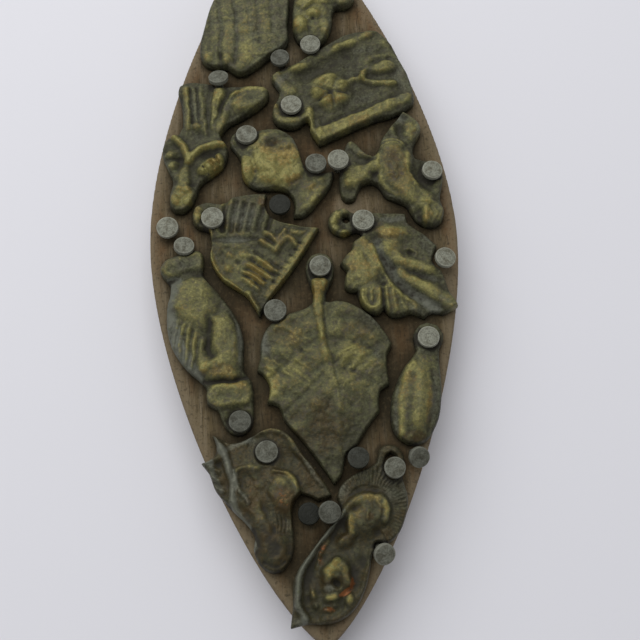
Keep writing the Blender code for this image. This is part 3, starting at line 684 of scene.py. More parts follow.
class Relief(Sheet):
    """One casting: a plate inside the solid's outline with relief on it, in millimetres on the board."""

    def __init__(self, node, context):
        self.settings = context.scene.print_board_castings
        super().__init__(node, self.settings.pitch)
        self.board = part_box("board")[1].z / MM
        self.plate = self.board + self.settings.plate / MM
        self.seed = sum(map(ord, node))
        self.warped_x, self.warped_y = (
            field
            + WAVER * grain(self.x, self.y, WAVER_SIZE, self.seed + k)
            + QUIVER * grain(self.x, self.y, QUIVER_SIZE, self.seed - k)
            for k, field in enumerate((self.x, self.y), 1)
        )
        for field in ("rise", "detail", "blush", "polish", "haze", "shadow"):
            setattr(self, field, np.zeros_like(self.x))
        self.tone = 0.0
        self.rounding = self.settings.rounding / MM

    def window(self, points, reach):
        """The part of the grid within reach of these points."""
        low, high = points.min(0) - reach, points.max(0) + reach
        i = slice(*np.searchsorted(self.y[:, 0], (low[1], high[1])))
        j = slice(*np.searchsorted(self.x[0], (low[0], high[0])))
        return i, j

    def near(self, points, reach):
        """Distance to a smooth line through the points, and how far along it that is, in a window."""
        line = smooth_line(points) if len(points) > 2 else np.asarray(points, float)
        spans = np.linalg.norm(np.diff(line, axis=0), axis=1)
        reached = np.concatenate([[0], np.cumsum(spans)]) / spans.sum()
        window = self.window(line, reach)
        x, y = self.warped_x[window], self.warped_y[window]
        best = np.full(x.shape, FAR)
        where = np.zeros(x.shape)
        for start, end, first, last in zip(line, line[1:], reached, reached[1:]):
            away, along = to_segment(x, y, start, end)
            closer = away < best
            best[closer] = away[closer]
            where[closer] = (first + (last - first) * along)[closer]
        return window, best, where

    def oval(self, x, y, across, along, turn, reach):
        """How far from an oval's centre each point of a window is, 1 on the oval."""
        size = max(across, along) * reach
        window = self.window(np.array([[x, y]]), size)
        right, up = self.warped_x[window] - x, self.warped_y[window] - y
        c, s = math.cos(math.radians(turn)), math.sin(math.radians(turn))
        return window, np.hypot((right * c + up * s) / across, (up * c - right * s) / along)

    def raise_to(self, window, r, height, soft):
        """Raises a form of this height, which falls away round r = 1, out of the relief that is there."""
        t = np.clip((1 + soft / 2 - r) / soft, 0, 1)
        old = self.rise[window]
        form = height * t * t * (3 - 2 * t)
        self.rise[window] = np.minimum(old, 0) + np.maximum(np.maximum(old, 0), form)

    @each_form
    def boss(self, x, y, across, along, height, turn=0.0, soft=1.1):
        """An oval boss; a less soft one has steeper sides and a flatter top."""
        window, r = self.oval(x, y, across, along, turn, 1 + soft / 2)
        self.raise_to(window, r, height, soft)

    @each_form
    def rib(self, points, half, height, ends=(1.0, 1.0), soft=1.1):
        """A rib along the points, whose width and height change from one end to the other."""
        window, away, where = self.near(points, half * max(ends) * (1 + soft / 2))
        scale = ends[0] + (ends[1] - ends[0]) * where
        self.raise_to(window, away / (half * scale), height * scale, soft)

    @each_form
    def swell(self, x, y, across, along, height, turn=0.0):
        """Adds a soft bump, or a hollow where the height is negative."""
        window, r = self.oval(x, y, across, along, turn, 1.0)
        self.rise[window] += height * np.maximum(1 - r * r, 0) ** 2

    @each_form
    def bead(self, points, half, height, ends=(1.0, 1.0)):
        """Adds a soft ridge along the points, or a groove where the height is negative."""
        window, away, where = self.near(points, 2 * half)
        scale = ends[0] + (ends[1] - ends[0]) * where
        self.rise[window] += height * scale * np.maximum(1 - (away / (BEAD_REACH * half)) ** 2, 0) ** 2

    @each_form
    def line(self, points, half, height):
        """Adds a fine line that stays crisp, raised or cut."""
        window, away, _ = self.near(points, 2 * half)
        self.detail[window] += height * np.maximum(1 - (away / (BEAD_REACH * half)) ** 2, 0) ** 2

    @each_form
    def wrinkles(self, x, y, across, along, height, turn, size):
        """Fine irregular wrinkles inside an oval, running at this angle to Y."""
        window, r = self.oval(x, y, across, along, 0.0, 1.0)
        c, s = math.cos(math.radians(turn)), math.sin(math.radians(turn))
        u, v = self.warped_x[window], self.warped_y[window]
        folds = grain(u * c + v * s, (v * c - u * s) / FOLD_STRETCH, size, self.seed + 9)
        self.detail[window] += height * np.maximum(1 - r**4, 0) * folds

    @each_form
    def tint(self, x, y, across, along, amount, turn=0.0):
        """A brown patch, red where the amount is large."""
        window, r = self.oval(x, y, across, along, turn, 1.0)
        self.blush[window] = np.maximum(self.blush[window], amount * np.maximum(1 - r**4, 0))

    def patch(self, field, x, y, across, along, amount, turn=0.0):
        """Adds to a field inside an oval."""
        window, r = self.oval(x, y, across, along, turn, 1.0)
        field[window] += amount * np.maximum(1 - r * r, 0)

    @each_form
    def mist(self, *oval):
        """A patch under the grey film."""
        self.patch(self.haze, *oval)

    @each_form
    def shine(self, *oval):
        """A brighter patch, rubbed brass and in places a painted highlight, or a dull one where the amount is
        negative.
        """
        self.patch(self.polish, *oval)

    @each_form
    def paint_shade(self, *oval):
        """A patch of painted shade, darkened toward the dirt colour."""
        self.patch(self.shadow, *oval)

    def stroke(self, field, points, half, amount):
        """Adds to a field along a smooth line through the points."""
        window, away, _ = self.near(points, half)
        field[window] += amount * np.maximum(1 - (away / half) ** 2, 0)

    @each_form
    def brighten_line(self, points, half, amount):
        """A brighter line: rubbed brass, and on lit sides a painted highlight."""
        self.stroke(self.polish, points, half, amount)

    @each_form
    def veil(self, points, half, amount):
        """A line under the grey film."""
        self.stroke(self.haze, points, half, amount)

    def under_nails(self, height):
        """The height kept below every nail's head, sloping up around it, with a painted shadow round each
        head.
        """
        for nail in nails():
            seat = nail.tip + nail.axis * nail.seat
            right, up = self.x - seat[0], self.y - seat[1]
            away = np.hypot(right, up)
            under = seat[2] - (nail.axis[0] * right + nail.axis[1] * up) / nail.axis[2] - NAIL_GAP
            clear = under + np.maximum(away - nail.head - NAIL_EASE, 0) * NAIL_SLOPE
            height = np.where(away < 3 * nail.head, np.minimum(height, clear), height)
            # Painted shadow round the nail's head.
            self.shadow = np.maximum(self.shadow, np.clip(1.2 - (away - nail.head) / NAIL_SHADOW_REACH, 0, 1))
        return height

    def finish(self):
        """Builds the casting's mesh and puts it in the scene."""
        settings = self.settings
        rise = blurred(self.rise, max(round(settings.softness / MM / self.pitch), 1)) + self.detail
        for size, part in GRAINS:
            rise += settings.grain / MM * part * grain(self.x, self.y, size, self.seed + int(10 * size))
        depth = np.clip(self.edge / self.rounding, 0, 1)
        profile = np.sqrt(1 - (1 - depth) ** 2)
        foot = self.board + settings.wall / MM
        height = self.under_nails(foot + (self.plate + settings.relief * rise - foot) * profile)
        close = rise - blurred(rise, round(CLOSE / self.pitch))
        wide = rise - blurred(rise, round(WIDE / self.pitch))
        level = np.clip(rise / HIGH, -0.5, 1)
        margin = 1 - np.clip(self.edge / RIM_REACH, 0, 1)
        worn = 0.20 + 0.32 * level + 0.9 * close + 0.45 * wide - 0.10 * margin
        # Dark in the creases and at the foot: partly dirt, partly painted shade.
        hollow_dirt_and_shade = -3.0 * close - 1.1 * wide - 0.14 + 0.3 * (1 - profile)
        # Rubbed brass, with the painted highlights of the brighter patches and lines.
        self.fields["wear_and_light"] = np.clip(worn + self.polish - 0.2 * self.haze - self.tone, 0, 1)
        self.fields["grime_and_shade"] = np.clip(hollow_dirt_and_shade + self.shadow, 0, 1)
        self.fields["film"] = np.clip(0.35 * margin + self.haze, 0, 1.2)
        self.fields["blush"] = self.blush
        mesh = self.mesh(height, [(0.0, self.board + SEAM)])
        finish = material("aged_brass", aged_brass, settings)
        add_piece(f"{self.node}_casting", mesh, finish, "charm_brass", self.node)
        return {"FINISHED"}


class PRINT_BOARD_OT_corn_ear(Operator):
    """Cast the corn ear at the board's top"""

    bl_idname = "print_board.corn_ear"
    bl_label = "Corn Ear"

    def execute(self, context):
        ear = Relief("corn_ear", context)
        ear.boss((-10.4, 56, 9.6, 16, 0.9, 0, 1.1))
        ear.bead(
            ([(-19.2, 60), (-19, 53), (-19.4, 46)], 0.45, -0.16),
            ([(-17.4, 66), (-16.5, 55), (-16.6, 44.6)], 0.5, -0.28),
            ([(-14, 68), (-12.9, 55), (-13, 43.4)], 0.45, -0.26),
            ([(-10.6, 70), (-9.9, 57), (-9.8, 50)], 0.4, -0.14),
            ([(-8, 70), (-7.8, 57), (-7.4, 48)], 0.4, -0.16),
            ([(-4.8, 70), (-4.4, 57), (-4.8, 48.5)], 0.45, -0.14),
            ([(-16.9, 45.6), (-16.7, 43)], 0.45, -0.35), ([(-13.7, 44.6), (-13.5, 42.4)], 0.4, -0.3),
        )
        ear.swell((-19.6, 45.2, 1.6, 1.8, 0.35), (-15.3, 43.9, 1.5, 1.8, 0.35), (-11, 43.4, 2.4, 2.6, 0.4))
        ear.wrinkles((-10.4, 52, 8, 12, 0.1, 90, 0.9))
        ear.shine(
            (-10.8, 50, 1.8, 9, 0.2), (-10.4, 45.6, 2.8, 3.4, 0.2), (-19.6, 45.2, 1.5, 1.8, 0.32),
            (-14.7, 50, 1.4, 8, 0.12), (-6.4, 53, 1.4, 5, 0.1),
        )
        ear.mist((-11.5, 53, 10, 13, 0.42), (-2.6, 54, 3, 14, 0.35))
        ear.tint((-7, 52, 2.4, 5, 0.25))
        return ear.finish()


class PRINT_BOARD_OT_berry_cluster(Operator):
    """Cast the berry cluster with its hanging loop"""

    bl_idname = "print_board.berry_cluster"
    bl_label = "Berry Cluster"

    def execute(self, context):
        cluster = Relief("berry_cluster", context)
        cluster.boss(
            (4.8, 55, 4.6, 7, 0.8, 0, 0.8), (1.9, 52.6, 1.9, 2.5, 1.5, 0, 1.2),
            (5.2, 55.2, 1.8, 1.7, 1.5, 0, 1.1), (7.6, 52, 1.5, 2.6, 1.2, 0, 1.2), (3.2, 58.2, 2, 1.6, 1.3),
            (7, 59, 2.3, 1.6, 1.3), (3.4, 61.8, 1.8, 1.8, 1.5), (7, 62.4, 1.7, 1.7, 1.5),
            (5.2, 65.4, 1.6, 1.5, 1.3),
        )
        cluster.swell((5, 54, 0.8, 0.9, -0.7), (4.1, 51, 1, 1.8, -0.4))
        cluster.rib(([(3, 57), (6, 59.2), (9.4, 60.2)], 0.6, 1.4))
        cluster.bead((arc(12.5, 60.6, 2.2, 0, 360, 25), 0.8, 0.6))
        cluster.shine((2, 53, 2.5, 3, 0.42), (5.4, 56, 3, 2.6, 0.38), (6, 59.4, 4, 2, 0.3))
        cluster.mist((7.9, 51.8, 1.6, 3.2, 0.7), (2.8, 49.8, 1.6, 1, 0.4))
        return cluster.finish()


class PRINT_BOARD_OT_acorn(Operator):
    """Cast the small acorn near the tip"""

    bl_idname = "print_board.acorn"
    bl_label = "Acorn"

    def execute(self, context):
        acorn = Relief("acorn", context)
        acorn.boss((0.8, 75.4, 2, 2.6, 1.7, 0, 1))
        acorn.rib(([(-1.6, 77), (0.8, 78.4), (3.2, 77)], 0.9, 1.6))
        for x in (-0.8, 0.8, 2.4):
            acorn.line(([(x, 76.8), (0.3 * x + 0.5, 79.4)], 0.3, -0.25))
        acorn.bead(([(0.8, 78.8), (0.8, 80.2)], 0.5, 0.6))
        return acorn.finish()


class PRINT_BOARD_OT_rose_panel(Operator):
    """Cast the framed panel with a rose spray and a ring at its side"""

    bl_idname = "print_board.rose_panel"
    bl_label = "Rose Panel"

    def execute(self, context):
        panel = Relief("rose_panel", context)
        leaf_edge = [(15.8, 38.8), (16, 37), (17.8, 36.1), (20, 35.7), (22.8, 35.6)]
        stem = [(11, 36.2), (13, 37.1), (15.2, 37.4)]
        panel.swell((12, 36, 13, 11, -0.35, 20))
        panel.rib(
            ([(5.2, 23), (14, 26.7), (25, 31.5)], 1.7, 0.85, (1, 0.7), 0.7),
            ([(3.7, 22.2), (3, 26), (2.9, 29.4)], 0.8, 0.65),
            ([(-5, 31), (-4.7, 28.8), (-3, 27.4), (0.4, 27.4), (2.2, 28.4)], 0.8, 0.5, (1, 1), 0.8),
            ([(-4.4, 39.4), (-2.8, 36.8), (-1.2, 34.8)], 1.3, 0.55),
            ([(25.8, 33), (24.9, 37), (23.2, 42), (21.2, 46.6)], 1.1, 0.3, (1, 0.8), 0.9),
            (leaf_edge, 0.65, 0.75),
        )
        panel.bead(
            ([(6.6, 25.8), (14, 29.2), (22, 32.2)], 0.6, -0.22), ([(5, 23.6), (4.9, 26.8)], 0.5, 0.3),
            ([(2, 38.6), (6.4, 41.2), (12, 44)], 1.6, -0.7), (stem, 0.7, 0.75),
            ([(7.2, 34.4), (4.4, 35.2)], 0.35, -0.45), ([(7.2, 33.4), (5.2, 31.8)], 0.35, -0.45),
            ([(8.2, 33.2), (8.6, 30.2)], 0.35, -0.45), ([(8.6, 34.2), (12, 33.4)], 0.35, -0.45),
            ([(8.4, 34.8), (9.6, 37.6)], 0.35, -0.35),
            ([(16.4, 39.4), (17, 41.6), (18.8, 43), (22, 43.2)], 0.6, 0.4),
        )
        panel.boss(
            (10.6, 46, 1.6, 0.9, 0.6, 25), (13.4, 46.9, 1.8, 1, 0.7, 20), (17, 48.9, 2.2, 0.9, 0.6, 15),
            (7.9, 34.2, 4.4, 4.6, 1, 0, 0.6), (20.6, 39.9, 2.9, 1.5, 1, 4, 0.8),
            (1, 41, 2.2, 0.9, 0.5, 20),
        )
        panel.swell(
            (4.9, 33.6, 1.7, 1.9, 0.65), (6.6, 31.2, 1.9, 1.5, 0.65, 20), (10.3, 31.8, 2.1, 1.6, 0.7, -10),
            (7.6, 37.6, 3, 1.5, 0.55, 12), (10.6, 35.6, 1.6, 1.7, 0.4), (5.4, 36.6, 1.5, 1.4, 0.35),
            (7.8, 33.9, 1, 1.2, -0.8), (11.7, 34.2, 1.3, 0.8, -0.45, 25), (20.3, 39, 4.4, 2.8, -0.15, 8),
        )
        panel.shine(
            (12, 25.8, 9, 1.7, 0.14, 22), (7.8, 34.2, 4.8, 5, 0.3), (1.2, 41.1, 1.8, 0.9, 0.45, 20),
            (13, 46.9, 2.4, 0.9, 0.25, 20), (3.2, 25.6, 1.3, 4.6, 0.2), (9, 41.6, 8, 2.6, -0.6, 26),
            (0, 32, 3, 2, -0.2),
        )
        panel.mist(
            (24.2, 37.6, 2.2, 8, 0.5, 18), (23, 31.4, 2.6, 1.4, 0.5, 20), (13, 31.2, 8, 2, 0.35, 20),
            (-3.2, 37.4, 1.3, 3.2, 0.7, -35), (-1, 29.4, 3.4, 1, 0.45), (17, 45, 4, 1.6, 0.4, 15),
        )
        panel.brighten_line(
            ([(5, 23.2), (14, 26.9), (22.4, 30.4)], 1.8, 0.15),
            ([(3.9, 22), (3.1, 26), (2.8, 29.6)], 1.4, 0.15),
            ([(-5, 30.6), (-4.7, 28.8), (-3, 27.4), (0.4, 27.4), (2.2, 28.6)], 1.2, 0.08),
            (stem, 1.2, 0.25), ([(-4.2, 39.8), (-1, 40.6), (2, 41.6)], 1, 0.19), (leaf_edge, 1, 0.09),
            ([(-4.6, 38.6), (-3.2, 36.8), (-2, 35)], 0.9, 0.15),
            ([(9.5, 45.6), (13.4, 46.9), (17.4, 49)], 1, 0.08),
        )
        panel.mist((12, 37, 10, 7, 0.12))
        # Painted shade in the groove.
        panel.paint_shade((11, 42.2, 5, 1.4, 0.4, 24))
        panel.tint((8.6, 32.6, 3, 2.4, 0.3))
        return panel.finish()


class PRINT_BOARD_OT_tied_sheaf(Operator):
    """Cast the sheaf of stalks tied with a bow"""

    bl_idname = "print_board.tied_sheaf"
    bl_label = "Tied Sheaf"

    def execute(self, context):
        sheaf = Relief("tied_sheaf", context)
        left_ribbon = [(-27.6, 24.2), (-25.8, 22), (-24.6, 18.6)]
        right_ribbon = [(-16.7, 22), (-20, 21.7), (-22.9, 20.1), (-24.5, 17.8)]
        ear_edge = [(-14.5, 34.6), (-11, 36), (-7, 35.5)]
        stalk = [(-21.4, 28.6), (-21.5, 32.5), (-21.6, 37)]
        sheaf.boss((-10.3, 33, 4.8, 2.6, 1.05, 22, 0.7))
        sheaf.rib(
            ([(-24.6, 26.6), (-24.7, 31.4), (-25, 36.6)], 0.6, 0.45),
            ([(-18.8, 26), (-18.6, 30), (-17.6, 35.4)], 0.9, 0.7, (0.5, 1.2)),
            ([(-17.4, 25.6), (-16, 30.2), (-13.6, 34.6)], 0.9, 0.65), (left_ribbon, 0.7, 0.95),
            (right_ribbon, 0.74, 1.05), ([(-25.4, 15.4), (-25.6, 11.6)], 1.2, 0.6),
        )
        sheaf.bead(
            ([(-22.9, 27.6), (-22.9, 31.5), (-23.2, 36.8)], 0.5, 0.25), (stalk, 0.5, 0.28),
            ([(-20.2, 26), (-20.1, 31), (-19.6, 36.6)], 0.45, -0.22),
            ([(-17.4, 28), (-16.5, 32), (-15.4, 35.6)], 0.4, -0.22), (ear_edge, 0.75, 0.35),
            ([(-14.2, 33.4), (-11.4, 34.7), (-8, 35.1)], 0.45, -0.28),
            ([(-24.2, 26.8), (-24.2, 31.4), (-24.6, 36.6)], 0.4, 0.3),
            ([(-20.5, 28.2), (-20.7, 24.8)], 0.5, 0.4), ([(-29.4, 18.6), (-26.4, 18.9)], 0.4, -0.3),
        )
        sheaf.boss(
            (-22.6, 26.9, 1, 0.9, 0.7), (-17.5, 34.2, 1.4, 2.2, 0.95), (-28.5, 20, 1.3, 0.8, 0.6, 25),
            (-27.9, 17.4, 1.3, 0.8, 0.6, 30), (-19.8, 16.4, 3, 1.7, 0.8, 40, 1.1),
            (-21.4, 15.1, 1, 0.9, 1.5), (-20.1, 16, 0.9, 1.2, 1.6, 30), (-18.9, 17.1, 0.9, 1.2, 1.6, 35),
            (-17.8, 18.3, 0.8, 1.1, 1.4, 35), (-26, 9.2, 2.5, 3, 0.7, 0, 1),
            (-27.4, 8.6, 1.1, 1.5, 1.15, 15), (-25.2, 10.8, 1, 1.2, 1.15), (-24.9, 8, 1.1, 1.1, 1.2),
            (-26.6, 11.4, 0.8, 0.9, 1),
        )
        sheaf.line(
            ([(-21.3, 16.6), (-20.2, 14.6)], 0.26, -0.3), ([(-20.1, 17.6), (-18.9, 15.6)], 0.26, -0.32),
            ([(-18.9, 18.8), (-17.8, 16.8)], 0.26, -0.3), ([(-25.8, 27), (-26, 36)], 0.3, -0.16),
            ([(-23.6, 28), (-24, 36.8)], 0.28, -0.18), ([(-22.2, 28), (-22.4, 36.8)], 0.28, -0.18),
            ([(-19.4, 28), (-18.8, 35.8)], 0.28, -0.18), ([(-18.2, 28.6), (-16.6, 35)], 0.25, 0.14),
        )
        sheaf.tint((-18.7, 17.6, 1.6, 1.2, 0.5, 40))
        sheaf.swell(
            (-20, 19.6, 3, 1.1, -0.4, 18), (-26.6, 17.6, 1.4, 2.6, -0.35), (-21.6, 24.6, 3, 1.3, -0.35, 8),
            (-24, 12.2, 1, 1.2, -0.3),
        )
        sheaf.shine(
            (-19.4, 16.6, 3.4, 2.2, 1.2, 40), (-20, 21.6, 3.4, 1, 0.6, 5), (-26, 9.2, 2.4, 2.8, 0.55),
            (-17.7, 34.2, 1.2, 2.6, 0.2), (-10.6, 35.6, 4, 0.9, 0.25, 10), (-9.6, 33.2, 4, 2.4, -0.26, 28),
            (-25.6, 21.6, 1, 2.4, 0.15),
        )
        sheaf.mist(
            (-23, 32, 2.6, 5.6, 0.5), (-15.2, 31.6, 1, 4, 0.5, -25), (-17.4, 22.2, 1.6, 1, 0.5),
            (-28.4, 18.8, 1.6, 2.6, 0.35), (-8, 32.4, 2.6, 0.9, 0.3, 25), (-22.6, 24, 2, 1.6, 0.3),
        )
        sheaf.brighten_line(
            ([(-24.4, 26.8), (-24.4, 31.4), (-24.8, 37)], 1, 0.08),
            ([(-18.4, 30), (-18, 32), (-17.4, 35)], 1.3, 0.14), (left_ribbon, 1.2, 0.22),
            (ear_edge, 1.2, 0.19), (right_ribbon, 1.2, 0.36), (stalk, 0.8, 0.08),
        )
        return sheaf.finish()


class PRINT_BOARD_OT_fish(Operator):
    """Cast the round-bodied fish"""

    bl_idname = "print_board.fish"
    bl_label = "Fish"

    def execute(self, context):
        fish = Relief("fish", context)
        fish.boss((-4.9, 17.4, 5.9, 7, 1.2, 25, 0.6))
        body = np.clip(fish.rise, 0, 1)
        for size, height in ((0.8, 0.14), (1.5, 0.25), (3, 0.28)):
            fish.rise += height * body * grain(fish.x, fish.y, size, fish.seed + 5)
        fish.boss((-11.7, 15.3, 1.7, 3.2, 1.1, -8, 1.2), (2.4, 8.4, 3, 4.2, 0.5, -35, 1.2))
        fish.bead(
            ([(-10.3, 19.6), (-10.2, 16.4), (-9.3, 13.6)], 0.5, -0.2),
            ([(1.6, 14.4), (0.2, 12.4), (-3.2, 10.8)], 0.5, -0.2),
            ([(-15.2, 22.2), (-14.3, 20.2), (-13.4, 18.6)], 0.5, 0.28),
        )
        fish.swell(
            (-13.2, 21, 2.6, 2.6, -0.25), (2.6, 7, 1.8, 1.2, 0.35, 40), (4.4, 9.6, 1.4, 1.3, 0.35, 50),
            (4.4, 11.6, 1, 1, 0.3), (0.4, 5.2, 1.6, 1, 0.3, 20),
        )
        fish.shine(
            (-5.4, 15.4, 6.4, 6.6, 0.74), (-11.8, 15.2, 2.2, 3.8, 1.05), (2.6, 7.8, 2.6, 3.4, 0.26, -35),
            (-8, 13, 2, 1.4, 0.2), (-1, 13, 1.6, 1.2, 0.2), (-4, 21.2, 4, 3, -0.58),
            (-13, 21.4, 3, 3, 0.05),
        )
        fish.mist((-0.4, 20.6, 1.6, 2.8, 0.65, 25), (-14.6, 20.8, 0.8, 2, 0.5, 25), (-8, 22, 2, 1.2, 0.4))
        fish.tint(
            (-1.2, 11.8, 2.6, 1.5, 0.4, 20), (1.2, 10.4, 2.2, 1.8, 0.42), (-4.8, 18.6, 4.6, 4.6, 0.36),
        )
        return fish.finish()


class PRINT_BOARD_OT_leaping_hare(Operator):
    """Cast the leaping hare"""

    bl_idname = "print_board.leaping_hare"
    bl_label = "Leaping Hare"

    def execute(self, context):
        hare = Relief("leaping_hare", context)
        back = [(17.5, 17), (17.2, 13.6), (18.2, 9.8), (20.8, 7)]
        belly = [(24.2, 17), (23.8, 13), (25.4, 9.4)]
        paw = [(26.4, 5), (29.4, 4.4), (30.2, 2.4), (29.6, 0.6)]
        hare.swell((27.4, 11.5, 4.6, 6.8, -0.75))
        hare.boss((20.8, 14.6, 3.5, 5.4, 1.25, 0, 0.8))
        hare.rib(([(21, 12), (23.4, 8.6), (26.4, 5.4)], 2.4, 1.15, (1, 1), 0.9))
        for radius, height in ((3.4, 0.22), (4.2, 0.2), (5, 0.16)):
            hare.line((arc(20.5, 16.6, radius, 40, 150, 9), 0.3, height))
        hare.line(
            (back, 0.38, 0.22), (belly, 0.38, 0.24), ([(28, 3.6), (28.6, 2.2), (28, 0.8)], 0.35, -0.2),
            (paw, 0.4, 0.18),
        )
        hare.boss(
            (25.3, 23.2, 1.6, 2.8, 0.75, -8, 1.2), (12.6, 12.4, 3.2, 2.4, 0.85, 38, 1),
            (27.9, 2.5, 2, 2.2, 0.8, 0, 0.9), (24, 3.2, 0.9, 0.8, 0.5),
        )
        hare.rib(
            ([(23.9, 27.6), (25.8, 26.4), (27, 23.6), (26.8, 21)], 0.6, 0.6),
            ([(17.6, 14.8), (15.2, 13.8)], 1.3, 0.9), ([(17.4, 16.4), (14, 18), (11.8, 20.2)], 0.75, 0.45),
            ([(27, 3.4), (26.9, 0.8)], 0.7, 1.1),
        )
        hare.bead(
            ([(22, 27.4), (21.4, 24.6), (21.6, 22)], 0.5, 0.25),
            ([(18, 12.6), (15, 12), (12.8, 9.8)], 0.4, -0.2),
        )
        hare.swell(
            (22.7, 23.2, 1.4, 2, -0.35), (14.8, 15.8, 2.6, 0.8, -0.3, 20), (25.4, 1.2, 0.8, 1, -0.5),
            (10.6, 10.6, 1.4, 1.2, 0.35), (13, 14.4, 1.6, 1.1, 0.35, 30), (14.6, 12, 1.4, 1, 0.3),
        )
        hare.shine(
            (12.4, 12, 3.2, 2.4, 0.2, 38), (27.5, 2.2, 1.6, 1.8, 0.22), (25.3, 22.4, 1.3, 2, 0.16),
            (26.9, 2.2, 0.8, 1.6, 0.3), (24.6, 7, 1.6, 3, -0.1, 45), (27.2, 12, 2.4, 5, -0.3),
            (20.8, 14.6, 3, 5.2, -0.3), (22.7, 23, 1.4, 2, -0.2),
        )
        hare.mist(
            (23.8, 26.4, 1.6, 1.8, 0.5), (27, 24.4, 0.8, 3, 0.6), (12.6, 18.8, 3, 1.4, 0.5, -35),
            (29.6, 2.6, 0.9, 2.4, 0.5), (20.4, 20.6, 3, 1.2, 0.35), (24.4, 15, 0.7, 3.4, 0.4),
        )
        hare.brighten_line(
            (back, 0.9, 0.25), (belly, 0.9, 0.25), ([(18, 19.4), (20.4, 20.6), (23, 19.6)], 0.9, 0.22),
            (paw, 0.9, 0.15),
        )
        hare.tint((20.8, 14.4, 3.2, 5, 0.45))
        return hare.finish()


class PRINT_BOARD_OT_pennant(Operator):
    """Cast the striped pennant"""

    bl_idname = "print_board.pennant"
    bl_label = "Pennant"

    def execute(self, context):
        pennant = Relief("pennant", context)
        pennant.rounding = 0.36
        pennant.blush += 0.16
        pennant.rib(
            ([(2.2, -0.6), (-2.8, -7.8), (-8, -15)], 0.85, 0.4, (1, 1), 1),
            ([(-20.2, 0.8), (-20.5, -4.4), (-18.2, -9.8), (-13, -14.1)], 0.45, 0.55),
            ([(-12.5, -14.2), (-10.7, -18)], 0.75, 0.65),
            ([(-7.8, 5.4), (-4, 2.1), (2.2, 0.5)], 0.5, 0.35),
            ([(-9.4, -2.2), (-7.8, -3.2), (-6.2, -4.4)], 0.62, 0.72),
            ([(-6.2, -4.4), (-5, -2.6), (-3.6, -1.4)], 0.58, 0.72),
            ([(-8.4, -0.2), (-6.9, -1.2), (-5.8, -2.4)], 0.52, 0.66),
            ([(-5.8, -2.4), (-4.9, -1), (-4, 0.2)], 0.52, 0.66),
            ([(-3.6, -1.4), (-2.4, -2.2), (-1.8, -3.4)], 0.55, 0.7),
            ([(-2.6, -0.2), (-1.2, -0.8), (0, -0.6)], 0.55, 0.55),
        )
        for step in range(6):
            x = -17.7 + 1.95 * step
            pennant.bead(([(x, 0.8), (x + 1.4, 8.2 - 0.6 * step)], 0.5, -0.54))
        for x, y, u, v in (
            (-11.2, -5.6, -6.2, -9.4), (-12.3, -7.4, -7.2, -11), (-13.2, -9, -9, -12.2),
            (-13.6, -10.6, -10, -13.6),
        ):
            pennant.rib(([(x, y), (u, v)], 0.42, 0.48))
            pennant.bead(([(x + 0.4, y + 0.85), (u + 0.4, v + 0.85)], 0.38, -0.3))
        pennant.bead(([(-19.4, -1.2), (-15, -1.4), (-10.2, -1.5)], 0.55, -0.4))
        for step in range(7):
            x, y = -0.6 - step, -3.2 - 1.45 * step
            pennant.line(([(x - 0.5, y + 0.3), (x + 0.4, y - 0.4)], 0.25, -0.2))
        pennant.swell(
            (-16, -5, 1.6, 1, 0.5, -25), (-13, -5, 2, 1, 0.5, -25), (-16.4, -8.2, 1.6, 1.2, 0.45),
            (-14.4, -6.6, 1, 0.8, -0.45), (-17.6, -6.4, 0.9, 0.8, -0.4), (-16.6, -3.2, 1.2, 0.6, -0.35),
        )
        pennant.boss((-22.5, 6.2, 1, 0.9, 0.6), (-22.9, 4.2, 1, 1.4, 0.7))
        pennant.shine(
            (-13, -5, 2.2, 1.3, 0.22), (-15.4, -7.4, 4.6, 4.8, 0.22), (-12, -11, 3.4, 3, 0.2),
            (-16.4, 7.6, 1.5, 0.8, 0.55, 20), (-22.7, 5, 1.1, 2, 0.4), (-10, -9.4, 3.4, 4, 0.74),
            (-5.4, -2, 4.4, 2.6, 0.04), (-2.6, -7.4, 1, 9, 0.18, -35), (-11.6, -16, 0.9, 2.4, 0.3, 25),
            (-19.8, -6, 0.8, 6, 0.2, 10),
        )
        pennant.mist((-12.8, 4.2, 5.4, 4.2, 0.75), (-15, -1.4, 5, 1.2, 0.7))
        pennant.brighten_line(
            ([(-20.3, 0.8), (-20.5, -4.4), (-18.2, -9.8), (-13, -14.1)], 1.2, 0.37),
            ([(2.8, 0), (-2.4, -7.4), (-7.6, -14.8)], 1.7, 0.2),
            ([(-7.8, 5.4), (-4, 2.1), (2.4, 0.6)], 1.2, 0.19),
        )
        pennant.tint((-8.7, 7.6, 1.2, 1.8, 0.6), (-17.4, 3, 1.6, 2.4, 0.35), (-9.4, -10.6, 2.4, 2.4, 0.3))
        return pennant.finish()


